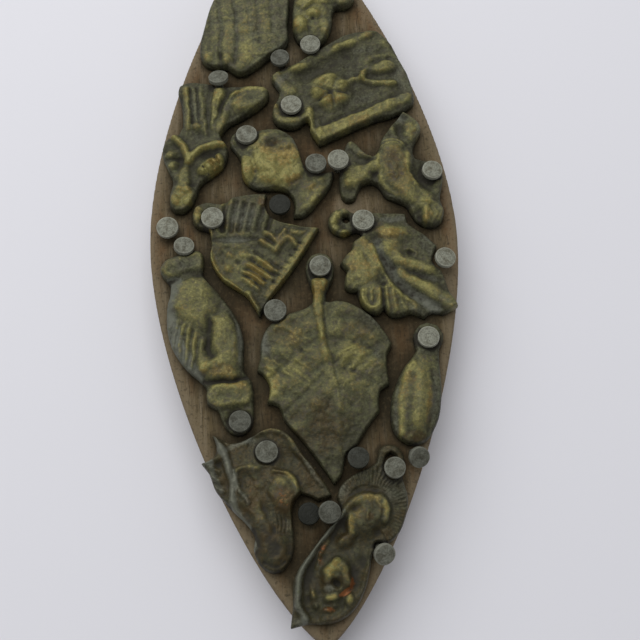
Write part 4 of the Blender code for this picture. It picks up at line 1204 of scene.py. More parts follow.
class PRINT_BOARD_OT_clasped_hands(Operator):
    """Cast the two clasped hands between their cuffs"""

    bl_idname = "print_board.clasped_hands"
    bl_label = "Clasped Hands"

    def execute(self, context):
        hands = Relief("clasped_hands", context)
        thumb = [(-19.4, -19.6), (-17.6, -22.4), (-17, -26.2), (-18.8, -29.2), (-22, -30.2)]
        hands.boss(
            (-23.8, -15.6, 4.3, 5.8, 1.25, 14, 0.9), (-25.4, -25, 3.4, 6.2, 0.9, 14, 0.8),
            (-17.6, -24.8, 2.9, 6.4, 1.15, 6, 0.9),
        )
        hands.rib(
            ([(-22.2, -29), (-20, -31), (-17, -31.2)], 1.6, 1.05, (1, 1), 1.1),
            ([(-28.4, -7.6), (-26, -6.9), (-23.4, -6)], 2.1, 0.75, (1, 1), 0.7),
            ([(-19.2, -36.3), (-17, -36.1), (-14.8, -35.8)], 2.5, 0.8, (1, 1), 0.4),
            (thumb, 1.5, 1.45, (0.7, 0.9)),
        )
        hands.bead(([(-20.9, -19.6), (-20.5, -22.8), (-21.6, -25.6)], 0.62, -0.42, (0.7, 1)))
        for x, y, u, v in (
            (-28, -20, -29, -24.4), (-26.7, -20.4, -27.7, -26.6), (-25.4, -21, -26.4, -28.4),
            (-24.1, -22, -25.2, -29.8), (-22.9, -23.6, -24.1, -31),
        ):
            hands.bead(([(x, y), ((x + u) / 2 - 0.1, (y + v) / 2), (u, v)], 0.34, -0.48))
        hands.bead(
            ([(-29.6, -10.6), (-26, -10.4), (-22, -9)], 0.6, -0.4),
            ([(-22, -33), (-18, -33.3), (-13.4, -32.6)], 0.5, -0.5),
            ([(-16.4, -18), (-14.7, -22), (-14.4, -27)], 0.45, -0.25),
            ([(-29, -8.2), (-26, -7.6), (-23, -6.6)], 0.4, -0.12),
        )
        hands.swell((-15.4, -41.6, 4.2, 3, -1))
        hands.shine(
            (-23.4, -14.6, 4, 4.6, -0.02), (-17, -25.4, 2.2, 4.8, -0.24), (-21.8, -29.8, 1.3, 1.3, 0.25),
            (-16.8, -34.2, 3.8, 0.8, 0.3), (-16.8, -36.6, 3, 1.6, -0.06),
        )
        hands.mist(
            (-26.6, -25, 2.8, 5.4, 0.55, 14), (-14.6, -25, 0.9, 6.4, 0.7), (-26, -6.8, 4.4, 2.6, 0.45),
            (-20.8, -36.4, 1.2, 2.2, 0.6), (-27.6, -11, 3, 1.4, 0.6), (-18, -38.4, 3.6, 0.7, 0.4),
        )
        hands.brighten_line(
            ([(-26, -20.8), (-27, -27.4)], 0.6, 0.16), ([(-24.7, -21.6), (-25.8, -29)], 0.6, 0.16),
            ([(-23.4, -22.8), (-24.6, -30.2)], 0.6, 0.16),
            ([(-19, -20), (-17.6, -22.6), (-17.2, -26), (-18.8, -28.8)], 1.2, 0.14),
            ([(-20.2, -34), (-17, -34), (-14, -33.6)], 0.9, 0.22),
        )
        hands.veil(([(-28.2, -11.4), (-29.2, -16), (-28.8, -21.6), (-26.6, -28), (-23.8, -32)], 2.2, 1.25))
        hands.shine((-26.2, -7, 4.6, 3.2, -0.22))
        hands.tint((-18.4, -30.9, 2.8, 1.5, 0.52, 12))
        return hands.finish()


class PRINT_BOARD_OT_toothed_leaf(Operator):
    """Cast the large toothed leaf on its stalk"""

    bl_idname = "print_board.toothed_leaf"
    bl_label = "Toothed Leaf"

    def execute(self, context):
        leaf = Relief("toothed_leaf", context)
        leaf.boss((2.6, -30, 10.8, 14, 0.6, 0, 0.9))
        leaf.swell((3, -10, 3.6, 3.4, -0.8))
        leaf.rib(
            ([(2.7, -12.9), (2.2, -15), (1.8, -18.4)], 1.55, 1.35, (1.15, 0.6), 0.6),
            ([(1.9, -17.6), (2.2, -21), (2.6, -25)], 0.95, 1.15, (1, 0.8), 0.6),
        )
        leaf.line(([(3.1, -19), (3.6, -25), (4.6, -31), (5.6, -38)], 0.28, -0.08))
        leaf.bead(
            ([(2.4, -23), (3, -28), (3.8, -33), (5, -40)], 0.9, 0.6, (1, 0.3)),
            ([(5, -40), (4.6, -46), (3.6, -53)], 0.8, 0.13),
            ([(4.2, -23.4), (8, -23), (13.6, -25.4)], 1.2, 0.24),
            ([(5, -28.6), (9, -28.8), (14, -31.6)], 1.3, 0.3),
            ([(5.6, -34.8), (9, -35.6), (12.8, -38.6)], 1.2, 0.22),
            ([(1, -22.4), (-4, -25.6), (-9.6, -30.2)], 1.3, 0.26),
            ([(2.2, -28.6), (-2.4, -32.4), (-8.6, -36.6)], 1.3, 0.24),
            ([(3.6, -35.6), (0.4, -39.6), (-4, -43.4)], 1.2, 0.2),
            ([(5.2, -25.4), (9, -26), (13.6, -28.2)], 0.45, -0.3),
            ([(5.6, -31.6), (9, -32.6), (13.2, -35.4)], 0.45, -0.26),
            ([(5, -20.6), (8.6, -20.6), (12.6, -22.2)], 0.45, -0.18),
            ([(1, -25.4), (-3.8, -29), (-8.8, -33.6)], 0.45, -0.24),
            ([(2.6, -32.4), (-1.4, -36.6), (-6, -40.4)], 0.45, -0.2),
            ([(0, -18.8), (-4, -20), (-8, -23)], 0.8, 0.2),
        )
        leaf.wrinkles(
            (-4.6, -29, 6, 10, 0.2, 50, 0.7), (9, -29.6, 6, 7.4, 0.2, -60, 0.7),
            (2, -42, 8, 9, 0.12, 70, 0.8),
        )
        leaf.shine(
            (9.4, -27, 4.6, 2.4, 0.28, -12), (8.6, -31, 4.6, 2.6, 0.3, -14), (2.4, -14.4, 1.7, 4, 0.34),
            (-5, -22.6, 2.6, 3.4, 0.06), (-8.6, -34, 2.2, 4, 0.7), (-4, -31, 3, 2.2, 0.34),
            (12.8, -21.6, 4, 3, -0.25), (4, -46, 9, 8, -0.22), (0, -40, 6, 4, -0.1),
        )
        leaf.mist(
            (12, -21.4, 3.6, 3.6, 0.25), (-9.4, -25.8, 1.6, 4.4, 0.8), (13.8, -30, 1.4, 6, 0.55),
            (2, -38, 7, 3, 0.2),
        )
        leaf.veil(([(1.9, -17.6), (2.3, -23), (3.2, -30), (5, -38.4)], 1.1, 0.2))
        leaf.tint(
            (1, -44, 8, 7, 0.34), (-4, -23, 4.4, 4.4, 0.3), (9.6, -23.6, 4, 2.4, 0.3),
            (2.2, -14.6, 1.2, 3, 0.3),
        )
        return leaf.finish()


class PRINT_BOARD_OT_vine_leaf(Operator):
    """Cast the folded vine leaf with its loop"""

    bl_idname = "print_board.vine_leaf"
    bl_label = "Vine Leaf"

    def execute(self, context):
        leaf = Relief("vine_leaf", context)
        midrib = [(14.4, -4.8), (15.6, -9), (17.6, -13.6), (21, -17.8)]
        upper_fold = [(17.2, -5.6), (19.6, -8.2), (26.4, -11)]
        leaf.boss(
            (12.4, -8.4, 4, 5.6, 0.9, -10, 0.7), (10.8, -11.8, 3.2, 3, 0.8, 0, 0.9),
            (12.4, -4.4, 2.2, 2, 0.8, 0, 0.9), (13.6, -16.6, 2.9, 3.6, 0.8, 8, 0.8),
            (17.8, -17, 2.2, 3.6, 0.7, 16, 0.9), (21.2, -18.6, 1.8, 2.4, 0.5, 35, 1),
            (18.8, -2, 3.4, 1.9, 0.8, -8, 1.2), (18.6, -5, 2.2, 2.2, 0.7, 0, 1.2),
            (9.2, 3.9, 0.9, 0.8, 0.6), (7.2, 3.2, 1, 1, 0.6), (6.3, 1.5, 1, 1.2, 0.7),
            (7, -0.3, 1.1, 0.9, 0.6), (9, -1.3, 1.2, 0.8, 0.6),
        )
        leaf.rib(
            (upper_fold, 1.6, 0.95, (1, 0.7), 1.3),
            ([(20.2, -11.6), (25, -15), (30.4, -18.9)], 1.8, 1, (0.8, 0.9), 1.1),
        )
        leaf.bead(
            ([(15, -3.4), (16.6, -8), (19.2, -12.8), (23.2, -17.4), (27.2, -20.2)], 1.2, -0.32),
            ([(21, -10.8), (24, -12.4), (28, -13.6)], 0.7, -0.3),
            ([(15.8, -15), (15.8, -18.6)], 0.4, -0.35),
            ([(22.6, -3.4), (25.6, -5.6), (27.6, -8.2)], 0.6, -0.12),
        )
        leaf.line(
            (midrib, 0.45, 0.26), ([(21.6, -6), (22.8, -5.9), (23.8, -6.8), (23.4, -7.6)], 0.3, 0.2),
            ([(11.8, -15), (11.7, -17.6), (13.2, -19.2), (14.9, -18), (15.1, -15)], 0.42, 0.28),
            ([(12.9, -15), (12.9, -17.2), (13.4, -18.2), (14, -17), (14, -15.2)], 0.32, -0.2),
            ([(16.4, -15), (16.6, -17.2), (16.8, -20)], 0.45, 0.26),
            ([(18, -14.6), (18.2, -17.2), (18.2, -20)], 0.45, 0.26),
            ([(19.2, -15.8), (19.8, -17.8), (20.4, -19.8)], 0.45, 0.22),
            ([(20.8, -16.8), (22, -18.6), (22.8, -20.6)], 0.45, 0.2),
        )
        leaf.swell(
            (16.2, -13.8, 0.8, 0.7, -0.7), (22.6, -6.7, 0.9, 0.6, -0.5, -25), (8.6, 1.4, 1.2, 1.2, -0.3),
        )
        leaf.wrinkles((12, -9, 4.4, 6.4, 0.14, 20, 0.8), (19, -4, 4, 4, 0.14, 60, 1))
        leaf.shine(
            (12.2, -8.6, 3.8, 6.4, 0.28, -10), (13.8, -16.6, 2.6, 3.2, 0.08),
            (19, -1.6, 3.6, 1.8, 0.4, -8), (18.4, -6, 1.6, 2.4, 0.18), (6.8, 1.2, 1.5, 2.6, 0.45),
            (9, -1.3, 1.6, 0.9, 0.35), (24.2, -13.8, 3.6, 0.9, 0.18, -35),
            (22.4, -9.4, 3.4, 0.9, 0.12, -28),
        )
        leaf.mist(
            (24.6, -18.4, 1.5, 4, 0.5, 48), (25.8, -4.8, 2.6, 3.6, 0.45), (25.8, -12.5, 4, 0.9, 0.6, -22),
            (22.8, -19.6, 2, 1.4, 0.5), (19, 1.5, 3.8, 1, 0.8), (28.6, -18, 2.6, 1.2, 0.6, -38),
            (9.4, 4, 1.2, 0.7, 0.5), (12.8, -1.6, 2.4, 1.2, 0.4),
        )
        leaf.brighten_line(
            (midrib, 0.9, 0.15), (upper_fold, 1.4, 0.12),
            ([(20.2, -11.6), (25, -15), (26, -15.6)], 1.3, 0.14),
            ([(11.8, -15), (11.7, -17.6), (13.2, -19.2), (14.9, -18)], 0.9, 0.19),
        )
        leaf.veil(([(15.6, -4), (16.9, -8), (19.3, -12.6), (23, -16.8), (27, -19.6)], 1.5, 0.8))
        leaf.tint(
            (16, -0.6, 1.8, 1.8, 0.42), (18.6, -2.4, 3.4, 1.6, 0.48), (11.6, -10, 2.6, 3, 0.28),
            (18, -17.6, 1.6, 2.4, 0.3),
        )
        return leaf.finish()


class PRINT_BOARD_OT_pod(Operator):
    """Cast the seed pod with its neck"""

    bl_idname = "print_board.pod"
    bl_label = "Seed Pod"

    def execute(self, context):
        pod = Relief("pod", context)
        pod.rise -= 0.3
        pod.boss((20.8, -38.8, 3.6, 7.6, 2, -13, 1.5))
        pod.bead(
            ([(17.1, -46), (17.4, -40), (19, -34.4), (21, -31.2)], 0.65, 0.3),
            ([(20.4, -46), (21.5, -40), (22.4, -34)], 0.8, 0.16),
            ([(19, -46), (19.4, -40), (20.6, -34)], 0.5, -0.24),
            ([(24.7, -33.6), (24.3, -40), (22.4, -46)], 0.45, -0.34),
        )
        pod.shine(
            (19.8, -46.6, 2.8, 2, -0.22), (19.4, -40, 1, 7.6, -0.22, -10),
            (21.7, -39, 1.1, 6.4, 0.05, -10), (21, -32.4, 1.2, 1.6, 0.15),
        )
        pod.mist(
            (17.2, -40.4, 1.1, 7.4, 0.6, -12), (21.7, -39, 1.3, 6.6, 0.8, -10),
            (24.4, -39, 1.4, 7.8, 0.6, -10), (24, -28.6, 2.4, 2, 0.5),
        )
        pod.brighten_line(([(17.2, -46), (17.5, -40), (19, -34.4), (20.8, -31.6)], 1, 0.22))
        pod.tint((19.6, -46.9, 2.8, 1.4, 0.5), (23.4, -41, 1, 5, 0.42, -10), (20.4, -34.6, 1, 2, 0.3))
        return pod.finish()


class PRINT_BOARD_OT_horse_head(Operator):
    """Cast the horse's head and neck"""

    bl_idname = "print_board.horse_head"
    bl_label = "Horse Head"

    def execute(self, context):
        horse = Relief("horse_head", context)
        brow = [(-16, -52), (-15.8, -55), (-13.8, -58.2)]
        horse.tone = 0.56
        horse.blush += 0.36
        horse.boss((-10.8, -57, 5.6, 9.6, 0.8, 20, 0.9))
        face = [
            (-19.2, -46.8), (-17.8, -50), (-16.8, -53.6), (-16.8, -57.2), (-15.8, -61), (-14, -64),
            (-13.2, -67),
        ]
        horse.rib(
            (face, 0.85, 1.15, (0.9, 0.7)), ([(-13.2, -57), (-11.6, -62), (-10, -67)], 1.9, 1.1, (0.9, 1)),
            ([(-15.9, -52), (-14.2, -51.2), (-11.8, -51.5)], 0.5, 1),
            ([(-8.8, -52), (-6.4, -52.8), (-4.7, -55), (-4.2, -58)], 0.55, 1.25),
            ([(-22.4, -49.7), (-20.4, -49.2), (-18.8, -48.4)], 0.7, 0.8, (0.7, 1)),
            ([(-20.2, -44.8), (-19.2, -46.4), (-18.2, -48)], 0.7, 0.8, (0.8, 1)),
            ([(-13.4, -44.9), (-9, -43.9), (-5.9, -45.4), (-2.9, -49.8), (0.6, -55.2)], 0.65, 0.45),
        )
        horse.boss((-7.2, -56.8, 2.9, 3.9, 1.35, 20, 0.9), (-9.3, -67.4, 2.8, 3.4, 1.05, -8, 0.9))
        horse.swell(
            (-14.2, -54.2, 1.9, 3, -0.6, 8), (-14, -54.6, 1, 1.6, 0.4, 8), (-6.8, -62.4, 2, 2.8, -0.6, 10),
            (-8.2, -69.6, 0.8, 0.5, -0.4, 30), (-19.6, -50.4, 1, 1, -0.3), (-6, -50, 3, 3.6, -0.25, 30),
            (-10.6, -60, 1.4, 2.4, -0.3, 20),
        )
        for step in range(5):
            horse.line(([(-8.8 + 0.75 * step, -60.4), (-8.6 + 0.7 * step, -64.2)], 0.25, 0.13))
        horse.line(
            (brow, 0.42, 0.34), ([(-11.6, -69.6), (-9.4, -70.6), (-7.4, -69.8)], 0.3, -0.22),
            ([(-13, -46.6), (-15, -49)], 0.4, -0.15), ([(-11.6, -49.8), (-8.8, -50.6)], 0.4, -0.15),
            ([(-4.6, -48.6), (-2, -53)], 0.4, -0.15),
        )
        for x, y in ((-20.6, -50.8), (-20.4, -52.8), (-19.8, -54.8), (-18.6, -57)):
            horse.bead(
                ([(x - 0.8, y + 0.2), (x + 1.2, y - 1)], 0.5, 0.4),
                ([(x - 0.2, y - 0.9), (x + 1.2, y - 2)], 0.35, -0.3),
            )
        # The patch at (-5.2, -54.2) paints glints on the cheek.
        horse.shine(
            (-7.4, -57, 3, 4, 0.2), (-5.2, -54.2, 1.2, 2.6, 0.6, 30), (-9, -43.9, 4.4, 0.9, 0.6),
            (-5, -46.4, 0.9, 2.2, 0.5, 35), (-9.6, -66.4, 3.8, 5.4, -0.5), (-12.4, -60, 1.6, 4, 0.08, 18),
        )
        horse.mist(
            (-1.2, -53, 0.9, 4.8, 0.6, 32), (-20.2, -46, 1, 1.8, 0.8, 25), (-21.6, -49.7, 1.4, 0.8, 0.8),
            (-12.6, -46.2, 2.4, 1.2, 0.5, -20), (-7, -62.6, 1.2, 2, 0.4),
        )
        horse.veil((face, 1, 1.1))
        # Painted shade on the muzzle and the lower jaw.
        horse.paint_shade((-9.4, -67.4, 4.2, 5.8, 1.05), (-12, -62, 2.8, 4.4, 0.62, 18))
        horse.veil(
            ([(-21.4, -49), (-20.6, -52), (-19, -55.6)], 0.8, 0.7),
            ([(-13.6, -45.6), (-16.4, -46.6), (-18.8, -47.6)], 0.9, 0.6), (brow, 0.7, 0.6),
        )
        horse.brighten_line(
            ([(-16, -51.8), (-14, -50.8), (-11.6, -51.4)], 1, 0.34),
            ([(-12.6, -54), (-11.6, -58), (-10.6, -61.6)], 2, 0.3),
            ([(-9.6, -53), (-7.4, -54)], 1.8, 0.36), ([(-17.6, -44.9), (-19.6, -44.4)], 0.8, 0.4),
        )
        horse.tint(
            (-7, -58, 2.8, 3.4, 0.66), (-13, -56.4, 2, 4, 0.56), (-9.8, -65.6, 3.6, 5.4, 0.48),
            (-8, -48.8, 5, 3.2, 0.5),
        )
        return horse.finish()


class PRINT_BOARD_OT_bonnet_doll(Operator):
    """Cast the swaddled doll in its frilled bonnet"""

    bl_idname = "print_board.bonnet_doll"
    bl_label = "Bonnet Doll"

    def execute(self, context):
        doll = Relief("bonnet_doll", context)
        doll.tone = 0.52
        doll.blush += 0.3
        x, y = 9.6, -60.8
        doll.rise -= 0.3
        for turn in np.radians(np.arange(-62, 172, 6)):
            c, s = math.cos(turn), math.sin(turn)
            doll.line(([(x + 5 * c, y + 5 * s), (x + 8.6 * c, y + 8.6 * s)], 0.26, 0.17))
        brim = [(4.6, -61.2), (6.6, -59.3), (9.4, -58.3), (12, -58.9), (13, -60.8), (12.6, -63)]
        rim = [(4.4, -61.2), (1.2, -64.6), (-1.8, -68), (-4.6, -72.4), (-5.2, -76.8), (-4.2, -80.6)]
        doll.rib(
            (brim, 0.85, 1.15, (1, 1), 1.2), ([(11, -59.2), (11.8, -60.6), (11.4, -62.8)], 0.4, 1.2),
            ([(0.4, -73.6), (1, -71.8), (2.6, -70.8), (4.2, -72), (4.6, -74.4)], 0.8, 1.3),
            (rim, 0.65, 0.95), ([(6.2, -61.8), (5.7, -63.6), (6.1, -65.6)], 0.7, 1),
            ([(9.4, -69), (8.4, -73), (6.2, -77.2), (2.8, -80.4), (-0.6, -81)], 0.6, 0.45),
        )
        doll.boss(
            (9.2, -62.2, 2.6, 3.5, 1.25, -22, 1), (4.7, -66.6, 1.7, 1.2, 0.8, 30),
            (2.2, -73.4, 2.8, 3.5, 0.95, -14, 0.9), (2.6, -70.5, 0.9, 0.7, 1.25),
            (0.7, -72.6, 1.2, 1.4, 1.25, 10), (1.4, -77.1, 1.5, 0.7, 0.9, 12),
            (4.6, -77.3, 0.7, 1.1, 0.9, -30), (-2.4, -76.4, 0.5, 0.9, 0.5, 10), (0.4, -79.4, 1, 0.5, 0.6),
            (2, -78.5, 0.6, 0.4, 0.5), (-1.6, -78.6, 0.5, 0.5, 0.5),
        )
        doll.bead(([(3.8, -63.2), (-0.4, -68.6), (-3.2, -73), (-3.6, -77.6), (-2, -80.2)], 0.8, -0.28))
        doll.swell(
            (8.4, -61.6, 0.7, 0.5, -0.18, -22), (10.6, -60.9, 0.7, 0.5, -0.18, -22),
            (2.2, -74.4, 1.3, 1.2, -1.2), (10.6, -65.6, 1.6, 1.4, -0.45, 20),
        )
        doll.line(
            ([(9.4, -61.2), (9.1, -62.8)], 0.35, 0.16),
            ([(8.2, -64.2), (9, -64.5), (9.9, -64)], 0.25, -0.12),
        )
        doll.bead(([(1.3, -66.4), (-0.4, -68.8)], 0.4, 0.4), ([(-0.6, -68.6), (-1.4, -71)], 0.4, 0.4))
        doll.shine(
            (9.2, -58.5, 4, 1.1, 0.48), (12.9, -60.8, 0.9, 2.4, 0.52), (7.2, -61.4, 1.5, 2.8, 0.42, -22),
            (11.2, -60.6, 1.2, 2, 0.25), (5.9, -63.8, 0.9, 2.4, 0.6), (4.4, -66.6, 1.4, 1, 0.3),
            (1.4, -72, 2, 1.8, 0.72), (2.6, -70.4, 1.1, 0.9, 0.95), (1.2, -76.9, 1.9, 0.9, 0.78),
            (4.6, -77.4, 1, 1.5, 0.78), (0.9, -67, 0.6, 1.5, 0.65, -40), (-0.2, -69, 0.6, 0.9, 0.55),
            (-2.4, -76.4, 0.6, 1, 0.6), (4.2, -73, 0.8, 1.5, 0.4), (0.4, -79.4, 1, 0.5, 0.45),
        )
        doll.mist(
            (14.2, -56.8, 4.6, 5, 0.35), (0.6, -75.3, 1.3, 1, 0.8), (-5.2, -80.8, 1.6, 1, 0.6),
            (5, -56.6, 1.6, 2.4, 0.4),
        )
        doll.veil((rim, 0.9, 0.9))
        # The second brighter line paints a highlight on the lit side of the face.
        doll.brighten_line(
            (brim, 0.9, 0.1), ([(6.6, -63.8), (7.2, -61.6), (8.8, -60.2), (10.8, -59.8)], 2, 0.24),
            ([(0.4, -73.6), (1, -71.8), (2.6, -70.8), (4.2, -72)], 0.9, 0.2),
        )
        # Painted shade on the body and neck.
        doll.paint_shade((-2.6, -74, 1.6, 5.6, 0.5, 8), (7, -71.4, 1.8, 3.6, 0.55, -24), (2, -67.6, 2.4, 2, 0.25))
        doll.tint(
            (5.5, -74.4, 0.7, 2.2, 1, -20), (4, -76.1, 2.2, 0.8, 1.05, 25),
            (0.3, -67.6, 0.7, 1.9, 0.75, -40), (-0.6, -69.8, 0.7, 1.5, 0.72), (0.8, -79.3, 1.6, 0.7, 0.8),
            (9.8, -62.4, 1, 1.2, 0.5),
        )
        return doll.finish()


class PRINT_BOARD_OT_board(Operator):
    """Dress the wooden board under the castings"""

    bl_idname = "print_board.board"
    bl_label = "Wooden Board"

    def execute(self, context):
        settings = context.scene.print_board_wood
        board = Sheet("board", settings.pitch, True)
        low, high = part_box("board")
        bottom, top = low.z / MM, high.z / MM
        arris = settings.arris / MM
        edge = np.clip(board.edge / arris, 0, 1)
        profile = np.sqrt(1 - (1 - edge) ** 2)
        wave = settings.wave / MM * (grain(board.x, board.y / GRAIN_LENGTH, 5.0, 11) - 1)
        height = top - arris + (arris + np.minimum(wave, 0) * profile) * profile
        castings = [node for node in NODES if node != "board" and not node.startswith("nail_")]
        near = measure(board.x, board.y, [loop for node in castings for loop in foot_loops(node)])
        # Grime beside the castings and in the gaps between them, partly painted shade.
        cover = blurred((near > 0).astype(float), round(SHELTER / board.pitch))
        grime_and_shade = np.maximum(np.clip(1.0 + near / GRIME_AND_SHADE_FADE, 0, 1), 1.6 * cover)
        # Round each nail's head: partly dirt, partly painted shadow.
        for nail in nails():
            seat = nail.tip + nail.axis * nail.seat
            away = np.hypot(board.x - seat[0], board.y - seat[1])
            grime_and_shade = np.maximum(grime_and_shade, np.clip(1.2 - 0.45 * (away - nail.head + 1), 0, 0.9))
        bare = 0.8 * np.clip(1 - board.edge / BARE_EDGE, 0, 1) + 0.2 * (1 - profile)
        # Painted light and shade in a few spots: negative amounts lighten the wood, positive ones darken it.
        for x, y, reach, amount in LIGHT_AND_SHADE_PATCHES:
            patch = amount * np.maximum(1 - np.hypot(board.x - x, board.y - y) / reach, 0)
            grime_and_shade += patch
            bare += np.maximum(-0.5 * patch, 0)
        grime_and_shade = np.clip(grime_and_shade, 0, None)
        board.fields["grime_and_shade"] = grime_and_shade * (0.12 + 0.88 * np.clip(board.edge / CLEAN_EDGE, 0, 1))
        board.fields["wear_and_light"] = bare
        skirts = [(0.0, bottom + arris), (-0.3 * arris, bottom + 0.3 * arris), (-arris, bottom)]
        mesh = board.mesh(height, skirts)
        finish = material("worn_wood", worn_wood, settings)
        add_piece("wooden_board", mesh, finish, "board_wood", "board")
        return {"FINISHED"}


def nail_tree(settings, sizes, finish):
    """Geometry nodes that turn one nail round its profile, set it on every point and batter it."""
    group = bpy.data.node_groups.new("wire_nails", "GeometryNodeTree")
    group.interface.new_socket("Points", in_out="INPUT", socket_type="NodeSocketGeometry")
    for name in sizes:
        socket = group.interface.new_socket(name, in_out="INPUT", socket_type="NodeSocketFloat")
        socket.subtype = "DISTANCE"
    group.interface.new_socket("Nails", in_out="OUTPUT", socket_type="NodeSocketGeometry")
    tree = Tree(group)
    given = tree.nodes.new("NodeGroupInput")
    size = {socket.name: Value(tree, socket) for socket in given.outputs if socket.name}
    corners = (
        (0.0, 0.0),
        (size["Shank"], size["Point"]),
        (size["Shank"], size["Seat"]),
        (size["Head"], size["Seat"]),
        (size["Head"], size["Length"]),
        (0.0, size["Length"] + size["Crown"]),
    )
    index = tree.add("GeometryNodeInputIndex")
    pick = tree.nodes.new("GeometryNodeIndexSwitch")
    pick.data_type = "VECTOR"
    while len(pick.index_switch_items) < len(corners):
        pick.index_switch_items.new()
    tree.links.new(index.socket, pick.inputs["Index"])
    for number, (right, up) in enumerate(corners, 1):
        corner = tree.add("ShaderNodeCombineXYZ", {}, {"X": right, "Y": up * -1.0})
        tree.links.new(corner.socket, pick.inputs[number])
    line = tree.add("GeometryNodeMeshLine", {}, {"Count": len(corners)})
    picked = Value(tree, pick.outputs[0])
    line = tree.add("GeometryNodeSetPosition", {}, {"Geometry": line, "Position": picked})
    line = tree.add("GeometryNodeMeshToCurve", {}, {"Mesh": line})
    rounded = index.math("GREATER_THAN", index, HEAD_CORNER)
    line = tree.add(
        "GeometryNodeFilletCurve", {"mode": "POLY"},
        {"Curve": line, "Count": 4, "Radius": rounded * size["Rounding"], "Limit Radius": True},
    )
    hub = {"Resolution": settings.sides, "Radius": MERGE**3 * MM}
    axle = tree.add("GeometryNodeCurvePrimitiveCircle", {}, hub)
    nail = tree.add("GeometryNodeCurveToMesh", {}, {"Curve": axle, "Profile Curve": line})
    nail = tree.add("GeometryNodeMergeByDistance", {}, {"Geometry": nail, "Distance": 0.1 * MERGE * MM})
    nail = tree.add("GeometryNodeFlipFaces", {}, {"Mesh": nail})
    place = tree.add("GeometryNodeInputPosition")
    place = tree.add("ShaderNodeSeparateXYZ", {}, {"Vector": place}).socket.node
    right, up = Value(tree, place.outputs["X"]), Value(tree, place.outputs["Y"])
    reach = (right * right + up * up) ** 0.5 / size["Head"]
    stored = {"Geometry": nail, "Name": "reach", "Value": reach}
    nail = tree.add("GeometryNodeStoreNamedAttribute", {}, stored)
    kind = {"data_type": "FLOAT_VECTOR"}
    axis, girth = (
        tree.add("GeometryNodeInputNamedAttribute", kind, {"Name": name}, "Attribute")
        for name in ("axis", "girth")
    )
    turn = tree.add("FunctionNodeAlignRotationToVector", {"axis": "Z"}, {"Vector": axis})
    driven = tree.add(
        "GeometryNodeInstanceOnPoints", {},
        {"Points": size["Points"], "Instance": nail, "Rotation": turn, "Scale": girth},
    )
    driven = tree.add("GeometryNodeRealizeInstances", {}, {"Geometry": driven})
    dents = tree.add("ShaderNodeTexNoise", {}, {"Scale": 1 / (DENT * MM), "Detail": 1.0}, "Color")
    dents = tree.add("ShaderNodeVectorMath", {"operation": "SUBTRACT"}, {0: dents, 1: (0.5, 0.5, 0.5)})
    dents = tree.add("ShaderNodeVectorMath", {"operation": "SCALE"}, {0: dents, "Scale": size["Batter"]})
    driven = tree.add("GeometryNodeSetPosition", {}, {"Geometry": driven, "Offset": dents})
    driven = tree.add("GeometryNodeSetMaterial", {}, {"Geometry": driven, "Material": finish})
    tree.add("NodeGroupOutput", {}, {"Nails": driven})
    return group


class PRINT_BOARD_OT_nails(Operator):
    """Drive the wire nails that hold the castings"""

    bl_idname = "print_board.nails"
    bl_label = "Wire Nails"

    def execute(self, context):
        settings = context.scene.print_board_nails
        finish = material("grey_steel", grey_steel, settings)
        driven = nails()
        mesh = bpy.data.meshes.new("nail_points")
        mesh.from_pydata([nail.tip * MM for nail in driven], [], [])
        one = driven[0]
        axes = np.concatenate([nail.axis for nail in driven])
        girths = np.concatenate([(nail.head / one.head, nail.head / one.head, 1.0) for nail in driven])
        mesh.attributes.new("axis", "FLOAT_VECTOR", "POINT").data.foreach_set("vector", axes)
        mesh.attributes.new("girth", "FLOAT_VECTOR", "POINT").data.foreach_set("vector", girths)
        mesh.attributes.new("tone", "FLOAT", "POINT").data.foreach_set("value", TONES)
        points = bpy.data.objects.new("nail_points", mesh)
        context.scene.collection.objects.link(points)
        measured = ("head", "shank", "point", "seat", "length")
        sizes = {part.title(): getattr(one, part) * MM for part in measured}
        sizes |= {part.title(): getattr(settings, part) for part in ("rounding", "crown", "batter")}
        modifier = points.modifiers.new("wire_nails", "NODES")
        modifier.node_group = nail_tree(settings, sizes, finish)
        for item in modifier.node_group.interface.items_tree:
            if item.name in sizes:
                modifier[item.identifier] = sizes[item.name]
        graph = context.evaluated_depsgraph_get()
        made = bpy.data.meshes.new_from_object(points.evaluated_get(graph))
        points.modifiers.remove(modifier)
        bpy.data.objects.remove(points)
        made.set_sharp_from_angle(angle=math.radians(SHARP_DEGREES))
        add_piece("wire_nails", made, finish, "nail_steel", *[nail.name for nail in driven])
        return {"FINISHED"}


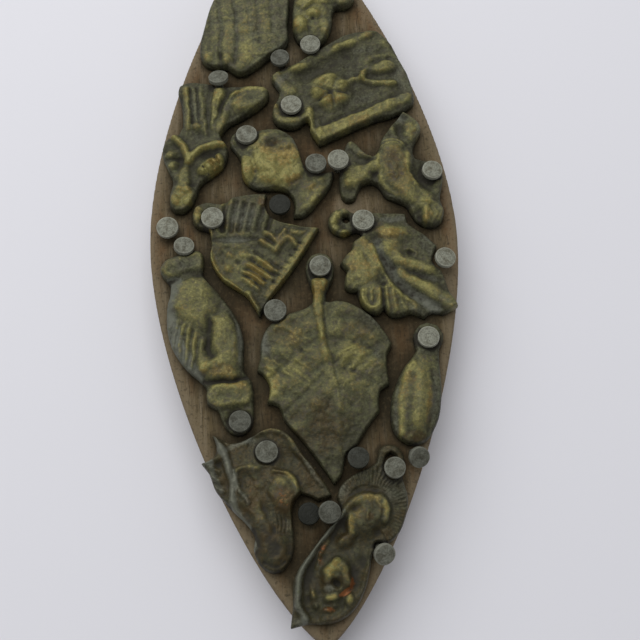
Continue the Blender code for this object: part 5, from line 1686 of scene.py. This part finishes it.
class PRINT_BOARD_OT_stage(Operator):
    """Set the camera, the lights and the floor"""

    bl_idname = "print_board.stage"
    bl_label = "Stage"

    def execute(self, context):
        settings = context.scene.print_board_stage
        scene = context.scene
        scene.view_settings.view_transform = "Standard"
        camera = bpy.data.objects.new("camera", bpy.data.cameras.new("camera"))
        camera.data.lens = settings.lens
        camera.data.clip_start = settings.nearest
        sight = Vector(settings.sight).normalized()
        right = sight.cross(Vector(settings.upright)).normalized()
        turn = Matrix((right, right.cross(sight), -sight)).transposed()
        camera.matrix_world = Matrix.Translation(settings.eye) @ turn.to_4x4()
        scene.collection.objects.link(camera)
        scene.camera = camera
        world = bpy.data.worlds.new("sky")
        world.use_nodes = True
        background = world.node_tree.nodes["Background"]
        background.inputs["Color"].default_value = SKY_TINT
        background.inputs["Strength"].default_value = settings.sky
        scene.world = world
        key = bpy.data.objects.new("key", bpy.data.lights.new("key", "AREA"))
        key.data.energy = settings.key
        key.data.size = settings.key_size
        key.location = settings.key_place
        key.rotation_euler = (-key.location).to_track_quat("-Z", "Y").to_euler()
        scene.collection.objects.link(key)
        half = settings.floor_half
        corners = [(-half, -half, 0), (half, -half, 0), (half, half, 0), (-half, half, 0)]
        mesh = bpy.data.meshes.new("floor")
        mesh.from_pydata(corners, [], [(0, 1, 2, 3)])
        made, tree, shader = new_material("pale_floor")
        feed(tree, shader, Base_Color=rgba(settings.floor), Roughness=0.8)
        mesh.materials.append(made)
        floor = bpy.data.objects.new("floor", mesh)
        floor.location.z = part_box("board")[0].z - SEAM * MM
        scene.collection.objects.link(floor)
        return {"FINISHED"}


class PRINT_BOARD_PT_panel(Panel):
    """Lists the pieces of the print board"""

    bl_label = "Print Board"
    bl_idname = "PRINT_BOARD_PT_panel"
    bl_space_type = "VIEW_3D"
    bl_region_type = "UI"
    bl_category = "Print Board"

    def draw(self, context):
        for operator in OPERATORS:
            self.layout.operator(operator.bl_idname)


SETTINGS = {
    "print_board_castings": CastingSettings,
    "print_board_wood": BoardSettings,
    "print_board_nails": NailSettings,
    "print_board_stage": StageSettings,
}
OPERATORS = (
    PRINT_BOARD_OT_stage,
    PRINT_BOARD_OT_board,
    PRINT_BOARD_OT_nails,
    PRINT_BOARD_OT_corn_ear,
    PRINT_BOARD_OT_berry_cluster,
    PRINT_BOARD_OT_acorn,
    PRINT_BOARD_OT_rose_panel,
    PRINT_BOARD_OT_tied_sheaf,
    PRINT_BOARD_OT_fish,
    PRINT_BOARD_OT_leaping_hare,
    PRINT_BOARD_OT_pennant,
    PRINT_BOARD_OT_clasped_hands,
    PRINT_BOARD_OT_toothed_leaf,
    PRINT_BOARD_OT_vine_leaf,
    PRINT_BOARD_OT_pod,
    PRINT_BOARD_OT_horse_head,
    PRINT_BOARD_OT_bonnet_doll,
)


def register():
    for cls in (*SETTINGS.values(), *OPERATORS, PRINT_BOARD_PT_panel):
        bpy.utils.register_class(cls)
    for name, cls in SETTINGS.items():
        setattr(bpy.types.Scene, name, PointerProperty(type=cls))


def unregister():
    for name in SETTINGS:
        delattr(bpy.types.Scene, name)
    for cls in (PRINT_BOARD_PT_panel, *reversed(OPERATORS), *SETTINGS.values()):
        bpy.utils.unregister_class(cls)


def main():
    register()
    for operator in OPERATORS:
        area, name = operator.bl_idname.split(".")
        getattr(getattr(bpy.ops, area), name)()


if __name__ == "__main__":
    main()
